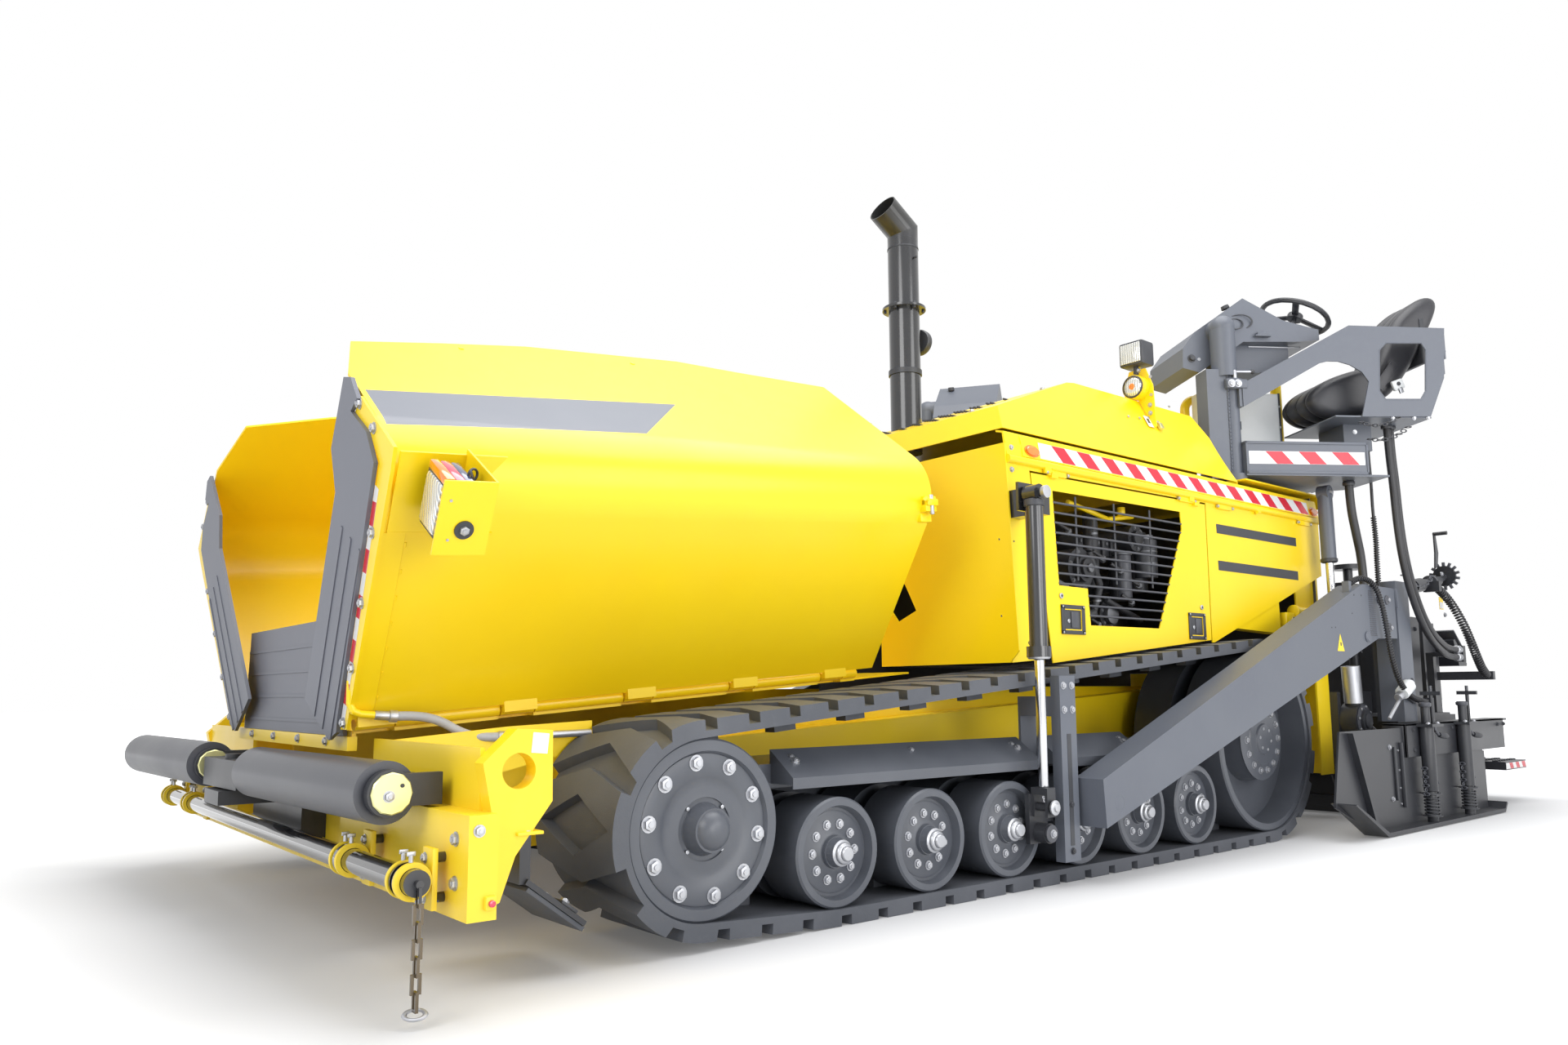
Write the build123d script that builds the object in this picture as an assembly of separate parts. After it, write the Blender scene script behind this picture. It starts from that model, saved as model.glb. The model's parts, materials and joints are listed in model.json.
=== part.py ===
from build123d import *
import math
import os

# Tracked asphalt paver. Millimetres. +X forward (hopper), +Y the machine's left, +Z up, ground at Z = 0.
# X is measured from the front road wheel's axle while building, and ORIGIN_X carries it to mid-length.

# ---- driving dimensions ------------------------------------------------------------------------
TRACK_OUT = 1323.0          # outer edge of each belt
BELT_W = 457.0
BELT_T = 20.0               # carcass
LUG_H = 31.5
LUG_PITCH = 157.0
LUG_SLANT = 19.0
WHEEL_PITCH = 420.0
WHEEL_COUNT = 6
# round things inside a belt: name, X, Z, radius
ROAD_R, ROAD_Z = 171.5, 223.0
IDLER = (503.0, 337.0, 258.0)
DRIVE = (-2747.0, 481.0, 429.0)

BODY_Y = 1200.0             # outer face of the body sides
BODY_FRONT, BODY_REAR = -1010.0, -3700.0
SKIN = 5.0
HOOD_RIDGE_Y, HOOD_FOOT_Y = 1000.0, 1186.0
DECK_Z = 1790.0

HINGE = (1316.0, 690.0, 640.0)      # front end of the left wing's hinge line
WING_LENGTH, WING_T = 2040.0, 10.0
HINGE_RISE = 4.61                   # degrees, towards the rear
WING_FOOT, WING_CORNER = (35.0, 15.0), (503.0, 711.0)
WING_LEAN, BEND_R = 38.0, 200.0
KNUCKLE_R = 20.0

BEAM_FRONT, BEAM_REAR, BEAM_HALF = 1300.0, 1231.0, 1540.0
TUBE_X, TUBE_Z, TUBE_R, TUBE_HALF = 1382.0, 307.0, 30.0, 1455.0
PUSH_PIVOT = (1455.0, 0.0, 494.0)
PUSH_TILT = 2.7             # the push bar stands a little askew
PUSH_ROLLER_R, PUSH_IN, PUSH_OUT = 75.0, 270.0, 1270.0
ROLLER_PIN_R = 20.0
FIT = 0.05                  # radial clearance of a shaft in its bore

TOW_X, TOW_Y, TOW_Z = -1255.0, 1432.0, 300.0    # tow pin, middle of the arm
TOW_PIN_R = 30.0
ARM_HALF = 62.0
POST_FRONT, POST_REAR = -1040.0, -1135.0
RAM_X, RAM_Y = -945.0, 1385.0
LIFT_TOP = (-3600.0, 1290.0, 1780.0)
LIFT_EYE = (-3607.0, 1290.0, 1100.0)
LIFT_BARREL, LIFT_ROD = 380.0, 390.0

SCREED_FRONT, SCREED_REAR = -4150.0, -5000.0
WALK_REAR = -5790.0
AUGER_X, AUGER_Z, AUGER_R = -3935.0, 360.0, 190.0

STATION_PIVOT = (-3010.0, 1085.0)
STATION_SWING = 34.0        # how far each station stands swung out
WHEEL_AT, WHEEL_SLOPE = (540.0, 225.0, 2795.0), 24.0

tilt = math.radians(PUSH_TILT)
front_tip = PUSH_PIVOT[0] + PUSH_OUT * math.sin(tilt) + PUSH_ROLLER_R * math.cos(tilt)
ORIGIN_X = -(front_tip + WALK_REAR) / 2

nodes = {}


# ---- helpers -----------------------------------------------------------------------------------
def block(x0, x1, y0, y1, z0, z1):
    size = (abs(x1 - x0), abs(y1 - y0), abs(z1 - z0))
    return Pos((x0 + x1) / 2, (y0 + y1) / 2, (z0 + z1) / 2) * Box(*size)


def side_plate(points, y0, y1):
    """A plate whose outline is given in X, Z, from y0 to y1."""
    face = Plane.XZ.offset(-min(y0, y1)) * make_face(Polyline(*points, close=True))
    return extrude(face, amount=-abs(y1 - y0))


def cross_plate(points, x0, x1):
    """A plate whose outline is given in Y, Z, from x0 to x1."""
    face = Plane.YZ.offset(min(x0, x1)) * make_face(Polyline(*points, close=True))
    return extrude(face, amount=abs(x1 - x0))


def flat_plate(points, z0, z1):
    """A plate whose outline is given in X, Y, from z0 to z1."""
    face = Plane.XY.offset(min(z0, z1)) * make_face(Polyline(*points, close=True))
    return extrude(face, amount=abs(z1 - z0))


def bar(start, end, radius):
    """A round bar from start to end."""
    start, end = Vector(*start), Vector(*end)
    along = end - start
    return Plane(origin=start, z_dir=along) * Cylinder(
        radius, along.length, align=(Align.CENTER, Align.CENTER, Align.MIN)
    )


def tube(points, radius, bend):
    """A round bar through points; bend is the radius of its centre line, or 0 for mitred corners."""
    path = FilletPolyline(*points, radius=bend) if bend else Polyline(*points)
    start = Plane(origin=path @ 0, z_dir=path % 0)
    return sweep(start * Circle(radius), path=path, transition=Transition.RIGHT)


def turned(points, x, z):
    """A body of revolution about the Y line through x, z; points are (radius, y)."""
    face = make_face(Polyline(*points, close=True))
    return Pos(x, 0, z) * revolve(face, Axis.Y)


def both(shape):
    return shape + mirror(shape, about=Plane.XZ)


def pair(name, shape):
    """A left-hand piece and its mirror image."""
    nodes[name + "_left"] = shape
    nodes[name + "_right"] = mirror(shape, about=Plane.XZ)


# ---- tracks ------------------------------------------------------------------------------------
def loop_outline(grow):
    """The belt's line round idler, first road wheel and drive wheel, grown outward."""
    wheels = [IDLER, (0.0, ROAD_Z, ROAD_R), DRIVE]
    rounds = [Pos(x, z) * Edge.make_circle(r + grow) for x, z, r in wheels]
    return make_hull(rounds).face()


def loop_band(low, high, y_out, width):
    ring = loop_outline(high) - loop_outline(low)
    return extrude(Plane.XZ.offset(-y_out) * ring, amount=width)


belt = loop_band(0, BELT_T, TRACK_OUT, BELT_W)
tread_ring = loop_band(BELT_T - 5, BELT_T + LUG_H, TRACK_OUT, BELT_W)
guide_ring = loop_band(-42, 4, TRACK_OUT - BELT_W / 2 + 25, 50)
edge = loop_outline(BELT_T).outer_wire()
lug_count = round(edge.length / LUG_PITCH)
shift = math.tan(math.radians(LUG_SLANT)) * BELT_W / 2
bars, guides = [], []
for i in range(lug_count):
    at, way = edge.position_at(i / lug_count), edge.tangent_at(i / lug_count)
    middle = TRACK_OUT - BELT_W / 2
    frame = Plane(origin=(at.X, middle, at.Y), x_dir=(way.X, 0, way.Y), z_dir=(-way.Y, 0, way.X))
    lead = 1 if way.X * (1 if at.Y < 200 else -1) > 0 else -1
    half_edge, half_mid, reach, toe = 58, 40, BELT_W / 2 + 2, lead * shift / 2
    outline = Polyline((-half_edge - toe, reach), (-half_mid + toe, 0), (-half_edge - toe, -reach),
                       (half_edge - toe, -reach), (half_mid + toe, 0), (half_edge - toe, reach), close=True)
    bars.append(frame * extrude(make_face(outline), amount=75, both=True))
    if i % 2:
        guides.append(frame * extrude(Rectangle(90, 60).face(), amount=70, both=True))
belt = belt + [tread_ring & lug for lug in bars] + [guide_ring & guide for guide in guides]
pair("track", belt)


# ---- wheels inside the tracks ------------------------------------------------------------------
TRACK_MID = TRACK_OUT - BELT_W / 2
GUIDE_GAP = 35.0            # half the gap between a wheel's twin rims


def twin_wheel(x, z, r, rim, dish, hub_r, hub_y):
    """Twin rims on one hub; the outer face is dished and carries a hub."""
    r = r - 0.5
    out_y, in_y = TRACK_OUT - 8, TRACK_MID + GUIDE_GAP
    near = turned([(0, in_y), (r, in_y), (r, out_y - 6), (r - 6, out_y), (r - rim, out_y),
                   (r - rim - 8, out_y - dish), (hub_r + 12, out_y - dish), (hub_r, out_y - dish + hub_y),
                   (0, out_y - dish + hub_y)], x, z)
    far_out, far_in = TRACK_MID - GUIDE_GAP, TRACK_OUT - BELT_W + 8
    far = turned([(0, far_in), (r, far_in), (r, far_out), (0, far_out)], x, z)
    axle = bar((x, far_in - 30, z), (x, in_y + 5, z), 45)
    return near + far + axle


wheels = [twin_wheel(-i * WHEEL_PITCH, ROAD_Z, ROAD_R, 26, 30, 40, 44) for i in range(WHEEL_COUNT)]
wheels.append(twin_wheel(*IDLER, 36, 14, 62, 50))
nodes["road_wheels"] = both(Compound(wheels))
drive = twin_wheel(*DRIVE, 34, 120, 190, 95)
drive += turned([(0, 1280), (70, 1280), (60, 1298), (0, 1298)], DRIVE[0], DRIVE[2])
nodes["drive_wheels"] = both(drive)

# ---- track frames: a beam over the wheels, a keel plate inboard and two sloping guards -----------
KEEL_Y = 836.0
beam = block(250, -2200, KEEL_Y, 1200, 425, 500)
keel = side_plate([(560, 300), (560, 400), (250, 500), (-2250, 500), (-2250, 190), (100, 170)], 800, KEEL_Y)
frame = beam + keel
for front, rear in ((180, POST_FRONT + 10), (POST_REAR - 10, -1720)):
    frame += cross_plate([(1195, 440), (1195, 545), (1312, 462), (1312, 428), (1306, 428), (1306, 440)], front, rear)
nodes["track_frames"] = both(frame)

# ---- chassis -----------------------------------------------------------------------------------
CHASSIS_Y = 700.0
rail = side_plate([(1099, 250), (1099, 560), (-1000, 740), (-3669, 740), (-3669, 560), (-3200, 262)],
                  CHASSIS_Y - 30, CHASSIS_Y)
rail += side_plate([(620, 300), (620, 420), (250, 560), (-2250, 700), (-3669, 790), (-3669, 480), (-2250, 200),
                    (100, 180)], CHASSIS_Y, CHASSIS_Y + 99)
chassis = both(rail)
for x0, x1, z0, z1 in ((700, 760, 250, 420), (-900, -840, 250, 420), (-2300, -2240, 250, 420)):
    chassis += block(x0, x1, -CHASSIS_Y, CHASSIS_Y, z0, z1)
rear = block(-3700, -3669, -1200, 1200, 640, 820) + both(block(-3700, -3669, 1085, 1200, 262, 700))
rear += both(block(-3669, -3560, 1190, 1200, 262, 820) + block(-3700, -3660, 700, 800, 262, 700))
for z in (678, 542, 452, 363):
    rear -= bar((-3710, 1151, z), (-3660, 1151, z), 9) + bar((-3710, -1151, z), (-3660, -1151, z), 9)
chassis += rear + both(bar((DRIVE[0], 780, DRIVE[2]), (DRIVE[0], 843, DRIVE[2]), 180))
nodes["chassis_frame"] = chassis

# ---- front beam, lifting eyes, guide tube --------------------------------------------------------
EYE = (1165.0, 1475.0, 545.0)
eye = side_plate([(1231, 240), (1231, 456), (1254, 566), (1172, 643), (1080, 638), (1078, 470), (1104, 436),
                  (1170, 350), (1206, 250)], EYE[1] - 25, EYE[1] + 25)
eye -= bar((EYE[0], 1400, EYE[2]), (EYE[0], 1600, EYE[2]), 42)
front = block(BEAM_REAR, BEAM_FRONT, -BEAM_HALF, BEAM_HALF, 222, 455)
front -= block(BEAM_REAR + 15, BEAM_FRONT + 1, -620, 620, 262, 456)
stay = eye + block(1100, 1231, 1330, 1450, 400, 440) + block(1040, 1231, 1060, 1085, 260, 452)
stay += block(1100, 1231, CHASSIS_Y - 30, CHASSIS_Y + 60, 250, 452)
stay += side_plate([(1240, 455), (1240, 600), (900, 628), (620, 640), (620, 560), (1100, 455)], 840, 852)
stay += block(1228, 1240, 700, 1450, 455, 600)
front += both(stay)
nodes["front_beam"] = front
scraper = cross_plate([(1000, 0), (1300, 0), (1300, 14), (1000, 14)], 0, 210)
scraper = Pos(880, 0, 120) * Rot(0, -37, 0) * scraper
scraper += block(1030, 1060, 1095, 1290, 245, 420)
nodes["track_scrapers"] = both(scraper)

guide = bar((TUBE_X, -TUBE_HALF, TUBE_Z), (TUBE_X, TUBE_HALF, TUBE_Z), TUBE_R)
for y in (-1420, -1386, -980, 980, 1386, 1420):
    guide += bar((TUBE_X, y - 10, TUBE_Z), (TUBE_X, y + 10, TUBE_Z), TUBE_R + 10)
for y in (-1403, -980, 980, 1403):
    strap = block(TUBE_X - 54, TUBE_X - 44, y - 30, y + 30, 240, 374)
    for z in (262, 352):
        strap += bar((BEAM_FRONT, y, z), (TUBE_X - 44, y, z), 12)
    guide += strap + block(TUBE_X - 50, TUBE_X, y - 24, y + 24, 300, 314)
# a chain of flat links hangs from the left end
LINK_LONG, LINK_WIDE, LINK_BAR = 44.0, 24.0, 7.0
guide += bar((TUBE_X, TUBE_HALF - 5, TUBE_Z), (TUBE_X, TUBE_HALF + 22, TUBE_Z), 9)
for i in range(7):
    half_wide, half_thick = (LINK_WIDE / 2, LINK_BAR / 2) if i % 2 else (LINK_BAR / 2, LINK_WIDE / 2)
    z = TUBE_Z - 6 - i * (LINK_LONG - LINK_BAR)
    y = TUBE_HALF + 14
    link = block(TUBE_X - half_wide, TUBE_X + half_wide, y - half_thick, y + half_thick, z - LINK_LONG, z)
    gap = LINK_LONG - 2 * LINK_BAR
    if i % 2:
        link -= block(TUBE_X - half_wide + LINK_BAR, TUBE_X + half_wide - LINK_BAR, y - 20, y + 20,
                      z - LINK_BAR - gap, z - LINK_BAR)
    else:
        link -= block(TUBE_X - 20, TUBE_X + 20, y - half_thick + LINK_BAR, y + half_thick - LINK_BAR,
                      z - LINK_BAR - gap, z - LINK_BAR)
    guide += link
nodes["guide_tube"] = guide

# ---- push bar ------------------------------------------------------------------------------------
px, py, pz = PUSH_PIVOT


def askew(shape):
    """Turned with the push bar about its pivot."""
    return Pos(px, 0, 0) * Rot(0, 0, PUSH_TILT) * Pos(-px, 0, 0) * shape


bar_body = block(px - 125, px - 85, -PUSH_OUT - 36, PUSH_OUT + 36, pz - 32, pz + 35)
bar_body += block(px - 125, px + 40, -190, 190, pz - 60, pz + 30)
for side_sign in (1, -1):
    for y in (PUSH_IN - 36, PUSH_OUT + 12):
        cheek = block(px - 125, px, side_sign * y, side_sign * (y + 24), pz - 32, pz + 45)
        cheek += bar((px, side_sign * y, pz), (px, side_sign * (y + 24), pz), 56)
        bar_body += cheek
    bar_body -= bar((px, side_sign * 200, pz), (px, side_sign * 1400, pz), ROLLER_PIN_R + FIT)
bar_body -= bar((px, 0, pz - 200), (px, 0, pz + 100), 25 + FIT)
nodes["push_bar"] = askew(bar_body)
for label, side_sign in (("left", 1), ("right", -1)):
    roller = bar((px, side_sign * PUSH_IN, pz), (px, side_sign * PUSH_OUT, pz), PUSH_ROLLER_R)
    roller += bar((px, side_sign * (PUSH_IN - 30), pz), (px, side_sign * (PUSH_OUT + 30), pz), ROLLER_PIN_R)
    nodes["push_roller_" + label] = askew(roller)
seat_plate = block(BEAM_REAR + 15.5, px + 60, -100, 100, pz - 110, pz - 66)
seat_plate += block(BEAM_REAR + 15.5, BEAM_FRONT + 20, -300, 300, 262.5, pz - 66)
seat_plate += bar((px, 0, pz - 100), (px, 0, pz + 45), 25)
nodes["push_bar_seat"] = seat_plate


# ---- hopper: wings are prisms along their rising hinge lines --------------------------------------
def on_hinge(shape):
    """From a frame at the hinge's front end, X forward along it and Z up square to it."""
    return Pos(*HINGE) * Rot(0, HINGE_RISE, 0) * shape


foot, corner = Vector(*WING_FOOT), Vector(*WING_CORNER)
lean = math.radians(WING_LEAN)
up, back = (corner - foot).normalized(), Vector(-math.cos(lean), math.sin(lean))
cut = BEND_R * math.tan(math.radians(up.get_angle(back)) / 2)
inward_up, inward_back = Vector(-up.Y, up.X), Vector(-back.Y, back.X)
start, end = corner - up * cut, corner + back * (cut + 5)
turn_in = corner + back * cut
centre = turn_in + inward_back * BEND_R
bulge = (corner - centre).normalized()
section = [
    Line(foot, start),
    ThreePointArc(start, centre + bulge * BEND_R, turn_in),
    Line(turn_in, end),
    Line(end, end + inward_back * WING_T),
    Line(end + inward_back * WING_T, turn_in + inward_back * WING_T),
    ThreePointArc(turn_in + inward_back * WING_T, centre + bulge * (BEND_R - WING_T), start + inward_up * WING_T),
    Line(start + inward_up * WING_T, foot + inward_up * WING_T),
    Line(foot + inward_up * WING_T, foot),
]
wing = extrude(Plane.YZ.offset(-WING_LENGTH) * make_face(Curve(section)), amount=WING_LENGTH)
# the upper plate's edge, as (distance from the front, reach beyond the bend's corner)
TOP_EDGE = [(0, cut), (0, 450), (-70, 690), (-371, 765), (-691, 834), (-1339, 883), (-1602, 850),
            (-WING_LENGTH, 808), (-WING_LENGTH, cut)]
upper = Plane(origin=(0, *WING_CORNER), x_dir=(1, 0, 0), z_dir=(0, -math.sin(lean), -math.cos(lean)))
wing += upper * extrude(make_face(Polyline(*TOP_EDGE, close=True)), amount=WING_T)
wing += cross_plate([(-28, -12), (25, -12), (470, 650), (503, 711), (268, 893), (216, 860), (335, 780), (395, 690)],
                    -2, 8)
# knuckles on the hinge line, and plates from them to the wing's foot
for i in range(5):
    x = -60 - i * 440
    wing += bar((x - 70, 0, 0), (x + 40, 0, 0), KNUCKLE_R)
    wing += block(x - 70, x + 40, 0, 42, -8, 8) + block(x - 70, x + 40, 28, 42, -8, 28)
# a bracket of three folded plates round each headlamp, square to the wing's lower plate
lower = Plane(origin=(0, *WING_FOOT), x_dir=(-1, 0, 0), z_dir=(0, up.Y, -up.X))
bracket = Polyline((10, 600), (10, 830), (300, 830), (130, 600), close=True)
wing += lower * Pos(0, 0, -1) * extrude(make_face(bracket), amount=7)
bracket = Polyline((50, 640), (50, 845), (190, 845), (190, 640), close=True)
wing += lower * Pos(0, 0, 205) * extrude(make_face(bracket), amount=6)
wing += lower * Pos(187, 742, 105) * Box(6, 205, 211)
pair("hopper_wing", on_hinge(wing))
lamp = lower * Pos(110, 742, 108) * Box(80, 180, 130)
lamp += lower * Pos(165, 742, 108) * Box(36, 40, 40)
pair("head_lamp", on_hinge(lamp))
flap = cross_plate([(169, 968), (228, 954), (275, 885), (216, 862), (335, 782), (385, 690), (-12, 25), (-30, -20),
                    (-106, -44), (-332, 76), (53, 662), (31, 791)], 8.5, 20)
for y0, z0, y1, z1 in ((-240, 32, 100, 560), (-165, -4, 170, 520), (-92, -34, 240, 480)):
    flap += cross_plate([(y0, z0), (y0 + 12, z0 - 8), (y1 + 12, z1 - 8), (y1, z1)], 18, 23)
pair("wing_flap", on_hinge(flap))

hinge_run = Vector(-math.cos(math.radians(HINGE_RISE)), 0, math.sin(math.radians(HINGE_RISE)))
floor = cross_plate([(-645, -30), (645, -30), (645, -22), (-645, -22)], -2330, -32)
for i in range(5):
    x0, x1 = -135 - i * 440, max(-455 - i * 440, -1970)
    floor += both(bar((x0, HINGE[1], 0), (x1, HINGE[1], 0), KNUCKLE_R))
    floor += both(block(x0, x1, 640, HINGE[1], -30, -12))
floor = Pos(HINGE[0], 0, HINGE[2]) * Rot(0, HINGE_RISE, 0) * floor
floor += block(1272, 1300, -653, 653, 565, 605) + block(1272, 1284, -640, 640, 570, 622)
nodes["hopper_floor"] = floor
apron = cross_plate([(-600, 606), (600, 606), (560, 960), (-560, 960)], 1285, 1297)
for z in (640, 720, 800, 880):
    apron += cross_plate([(-590 + (z - 606) * 0.11, z), (590 - (z - 606) * 0.11, z),
                          (589 - (z - 606) * 0.11, z + 10), (-589 + (z - 606) * 0.11, z + 10)], 1296, 1300)
nodes["front_apron"] = apron

# ---- bulkhead, body sides, doors, hood -----------------------------------------------------------
bulkhead = cross_plate([(-1195, 831), (1195, 831), (1240, 876), (1200, 1705), (-1200, 1705), (-1240, 876)],
                       BODY_FRONT - 8, BODY_FRONT)
bulkhead -= block(BODY_FRONT - 50, BODY_FRONT + 50, -480, 480, 800, 1080)
opening = cross_plate([(503, 1124), (587, 1200), (631, 1182), (696, 1065), (587, 1022)], BODY_FRONT - 50,
                      BODY_FRONT + 50)
bulkhead -= both(opening)
nodes["bulkhead"] = bulkhead

door_outline = [(-1274, 832), (-1170, 1602), (-2507, 1613), (-2503, 955)]
side = side_plate([(BODY_FRONT - 9, 831), (BODY_FRONT - 9, 1710), (BODY_REAR, 1710), (-3691, 1336), (-2534, 945)],
                  BODY_Y - SKIN, BODY_Y)
side -= side_plate([(-1268, 700), (-1162, 1610), (-2515, 1621), (-2511, 700)], BODY_Y - 60, BODY_Y + 60)
side += side_plate([(-2740, 1020), (-3201, 1186), (-3208, 1006)], 1120, BODY_Y - SKIN + 1)
# the rail tube, the sloping band over it and the top's inward flange
side += bar((BODY_FRONT - 9, 1204, 1642), (BODY_REAR, 1204, 1642), 17)
side += cross_plate([(BODY_Y - SKIN, 1655), (1205, 1660), (1188, 1756), (1150, 1766), (1150, 1758), (1181, 1750)],
                    BODY_FRONT - 9, BODY_REAR)
side += cross_plate([(BODY_Y, 840), (BODY_Y, 1700), (BODY_Y - 60, 1700), (BODY_Y - 60, 840)], BODY_REAR - 1,
                    BODY_REAR + 6) & block(BODY_REAR - 5, BODY_REAR + 10, 1000, 1300, 1336, 1760)
side += block(-3440, BODY_REAR, 1165, 1173, 821, 1400) + block(-3440, BODY_REAR, 1165, 1196, 1392, 1400)
side += bar((-3400, 1188, 1130), (-3690, 1188, 1130), 26)
for x in (-1265, -2365):
    side += bar((x + 20, 1212, 1614), (x - 20, 1212, 1614), 6) + block(x + 20, x - 20, 1206, 1218, 1616, 1636)
nodes["body_sides"] = both(side)
door = side_plate(door_outline, BODY_Y - SKIN, BODY_Y)
grille = [(-1309, 1544), (-2282, 1554), (-2289, 1472), (-2061, 996), (-1540, 993), (-1528, 1148), (-1332, 1151)]
window = side_plate(grille, BODY_Y - 60, BODY_Y + 60)
bars = []
for i in range(12):
    bars.append(bar((-1250, BODY_Y - 3, 1034 + 42 * i), (-2320, BODY_Y - 3, 1034 + 42 * i), 4))
louvres = [window & one for one in bars]
door = door - window + louvres
for x0, x1, z0, z1 in ((-1338, -1492, 954, 1070), (-2308, -2448, 957, 1076)):
    door += block(x0, x1, BODY_Y - 1, BODY_Y + 4, z0, z1)
    door -= block(x0 - 22, x1 + 22, BODY_Y - 2, BODY_Y + 20, z0 + 18, z1 - 18)
DOOR_HINGE_Y, DOOR_HINGE_Z = 1212.0, 1614.0
for x in (-1310, -2410):
    door += bar((x + 20, DOOR_HINGE_Y, DOOR_HINGE_Z), (x - 20, DOOR_HINGE_Y, DOOR_HINGE_Z), 6)
    door += block(x + 20, x - 20, BODY_Y - 2, DOOR_HINGE_Y + 4, 1594, 1610)
pair("engine_door", door)

ROOF = [(BODY_FRONT - 9, 1770), (-1060, 1880), (-1700, 2120), (-1763, 2130), (-2770, 2135), (-2930, 1850),
        (-2930, 1770)]


def hood_body(inset):
    roof = side_plate([(x, z - (inset if z > 1800 else 0)) for x, z in ROOF], -1300, 1300)
    foot_y, ridge_y = HOOD_FOOT_Y - inset, HOOD_RIDGE_Y - inset
    return roof & cross_plate([(-foot_y, 1770), (foot_y, 1770), (ridge_y, 2140), (-ridge_y, 2140)], 0, -4000)


station_room = bar((*STATION_PIVOT, 1700), (*STATION_PIVOT, 2400), 175)
hood = hood_body(0) - both(station_room) - (hood_body(8) & block(BODY_FRONT - 18, -2922, -1300, 1300, 1700, 2127))
for i in range(5):
    hood -= block(-1120 - 90 * i, -1160 - 90 * i, -900, 900, 1700, 2130)
engine = block(-1500, -2900, -450, 450, 840, 1600)
# what hangs on its sides, seen through the grilles: (X, Z, radius, inner Y, outer Y) of the round things
for x, z, r, y0, y1 in ((-1450, 1370, 78, 700, 1010), (-1640, 1250, 92, 440, 1090), (-1640, 1250, 60, 1080, 1120),
                        (-1880, 1060, 70, 440, 1060), (-2060, 1420, 62, 440, 1100), (-1500, 1090, 46, 440, 1100)):
    engine += both(bar((x, y0, z), (x, y1, z), r))
# upright cartridges and pipes: (X, Y, Z low, Z high, radius)
for x, y, z0, z1, r in ((-2000, 1040, 1130, 1330, 44), (-2160, 1030, 1180, 1460, 50), (-1820, 1020, 1180, 1520, 34)):
    engine += both(bar((x, y, z0), (x, y, z1), r) + block(x - 30, x + 30, 440, y, z0 + 40, z0 + 90))
engine += both(block(-1380, -1700, 440, 720, 1300, 1440) + block(-1350, -1900, 440, 900, 930, 990))
nodes["engine"] = engine

PIPE_X, PIPE_Y, PIPE_R = -1480.0, 200.0, 78.0
MOUTH = (-1340.0, PIPE_Y, 3150.0)
hood -= bar((PIPE_X, PIPE_Y, 1800), (PIPE_X, PIPE_Y, 2300), PIPE_R + 6)
bend_top = (PIPE_X, PIPE_Y, 3062)
exhaust = tube([(PIPE_X, PIPE_Y, 1900), bend_top, MOUTH], PIPE_R, 0)
exhaust += bar((PIPE_X, PIPE_Y, 2640), (PIPE_X, PIPE_Y, 2652), PIPE_R + 32)
exhaust -= tube([(PIPE_X, PIPE_Y, 2300), bend_top, (2 * MOUTH[0] - PIPE_X, PIPE_Y, 2 * MOUTH[2] - 3062)], PIPE_R - 5, 0)
nodes["exhaust"] = exhaust
nodes["hood"] = hood

# ---- operator deck -------------------------------------------------------------------------------
deck = block(-2945, -3764, -1190, 1190, DECK_Z, DECK_Z + 8) + block(-3756, -3764, -1190, 1190, 1720, DECK_Z)
deck += block(-2945, -2953, -1140, 1140, 1772, DECK_Z)
nodes["operator_deck"] = deck
lamps = cross_plate([(930, 2142), (1002, 2142), (1083, 1983), (1096, 1990), (1086, 2200), (1050, 2290), (960, 2290),
                     (930, 2200)], -2293, -2285)
lamps += bar((-2286, 1010, 2195), (-2240, 1010, 2195), 60) + block(-2240, -2330, 945, 1065, 2310, 2420)
lamps += block(-2285, -2293, 990, 1020, 2280, 2315)
nodes["work_lamps"] = both(lamps)


# ---- operator stations ---------------------------------------------------------------------------
def swung(shape):
    """From a frame with X along the platform and Y away from it, to its place beside the body."""
    return Pos(*STATION_PIVOT, 0) * Rot(0, 0, 180 - STATION_SWING) * shape


column = block(-135, -20, -40, 80, 1812, 2400) + bar((12, 0, 1800), (12, 0, 2420), 42)
column += bar((12, 0, 1800), (12, 0, 1840), 62) + bar((-15, 0, 2365), (-15, 0, 2640), 64)
column += Pos(-15, 0, 2640) * Sphere(66) + bar((-15, 0, 2640), (-15, 80, 2640), 61)
column += block(8, 16, -60, 60, 2300, 2360)
CONSOLE = [(-211, 2437), (-205, 2545), (-138, 2635), (147, 2835), (373, 2716), (573, 2669), (574, 2611), (450, 2598),
           (138, 2590), (-119, 2413)]
console = side_plate(CONSOLE, 64, 480) + block(100, 430, 130, 420, 2440, 2600)
wheel_x, wheel_y, wheel_z = WHEEL_AT
console -= Pos(*WHEEL_AT) * Rot(0, WHEEL_SLOPE, 0) * Pos(0, 0, -160) * Cylinder(12 + FIT, 120)
guard_edge = [(47, 2317), (662, 2650), (1209, 2649), (1185, 2372), (1092, 2158), (704, 2151), (755, 2342), (720, 2395),
              (656, 2432), (590, 2450), (531, 2450), (488, 2439), (47, 2192)]
guard = side_plate(guard_edge, -66, -58)
guard -= side_plate([(827, 2519), (868, 2560), (1072, 2565), (1096, 2525), (1077, 2297), (1046, 2250), (843, 2246),
                     (810, 2292)], -100, 0)
guard += side_plate([(47, 2309), (47, 2317), (662, 2650), (1209, 2649), (1209, 2641), (664, 2641)], -62, -16)
guard += block(1200, 1209, -62, 40, 2480, 2649) + block(30, 50, -60, 10, 2195, 2315)
platform = block(44, 720, -66, -58, 1837, 2009) + block(40, 720, -62, 460, 2001, 2009)
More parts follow.
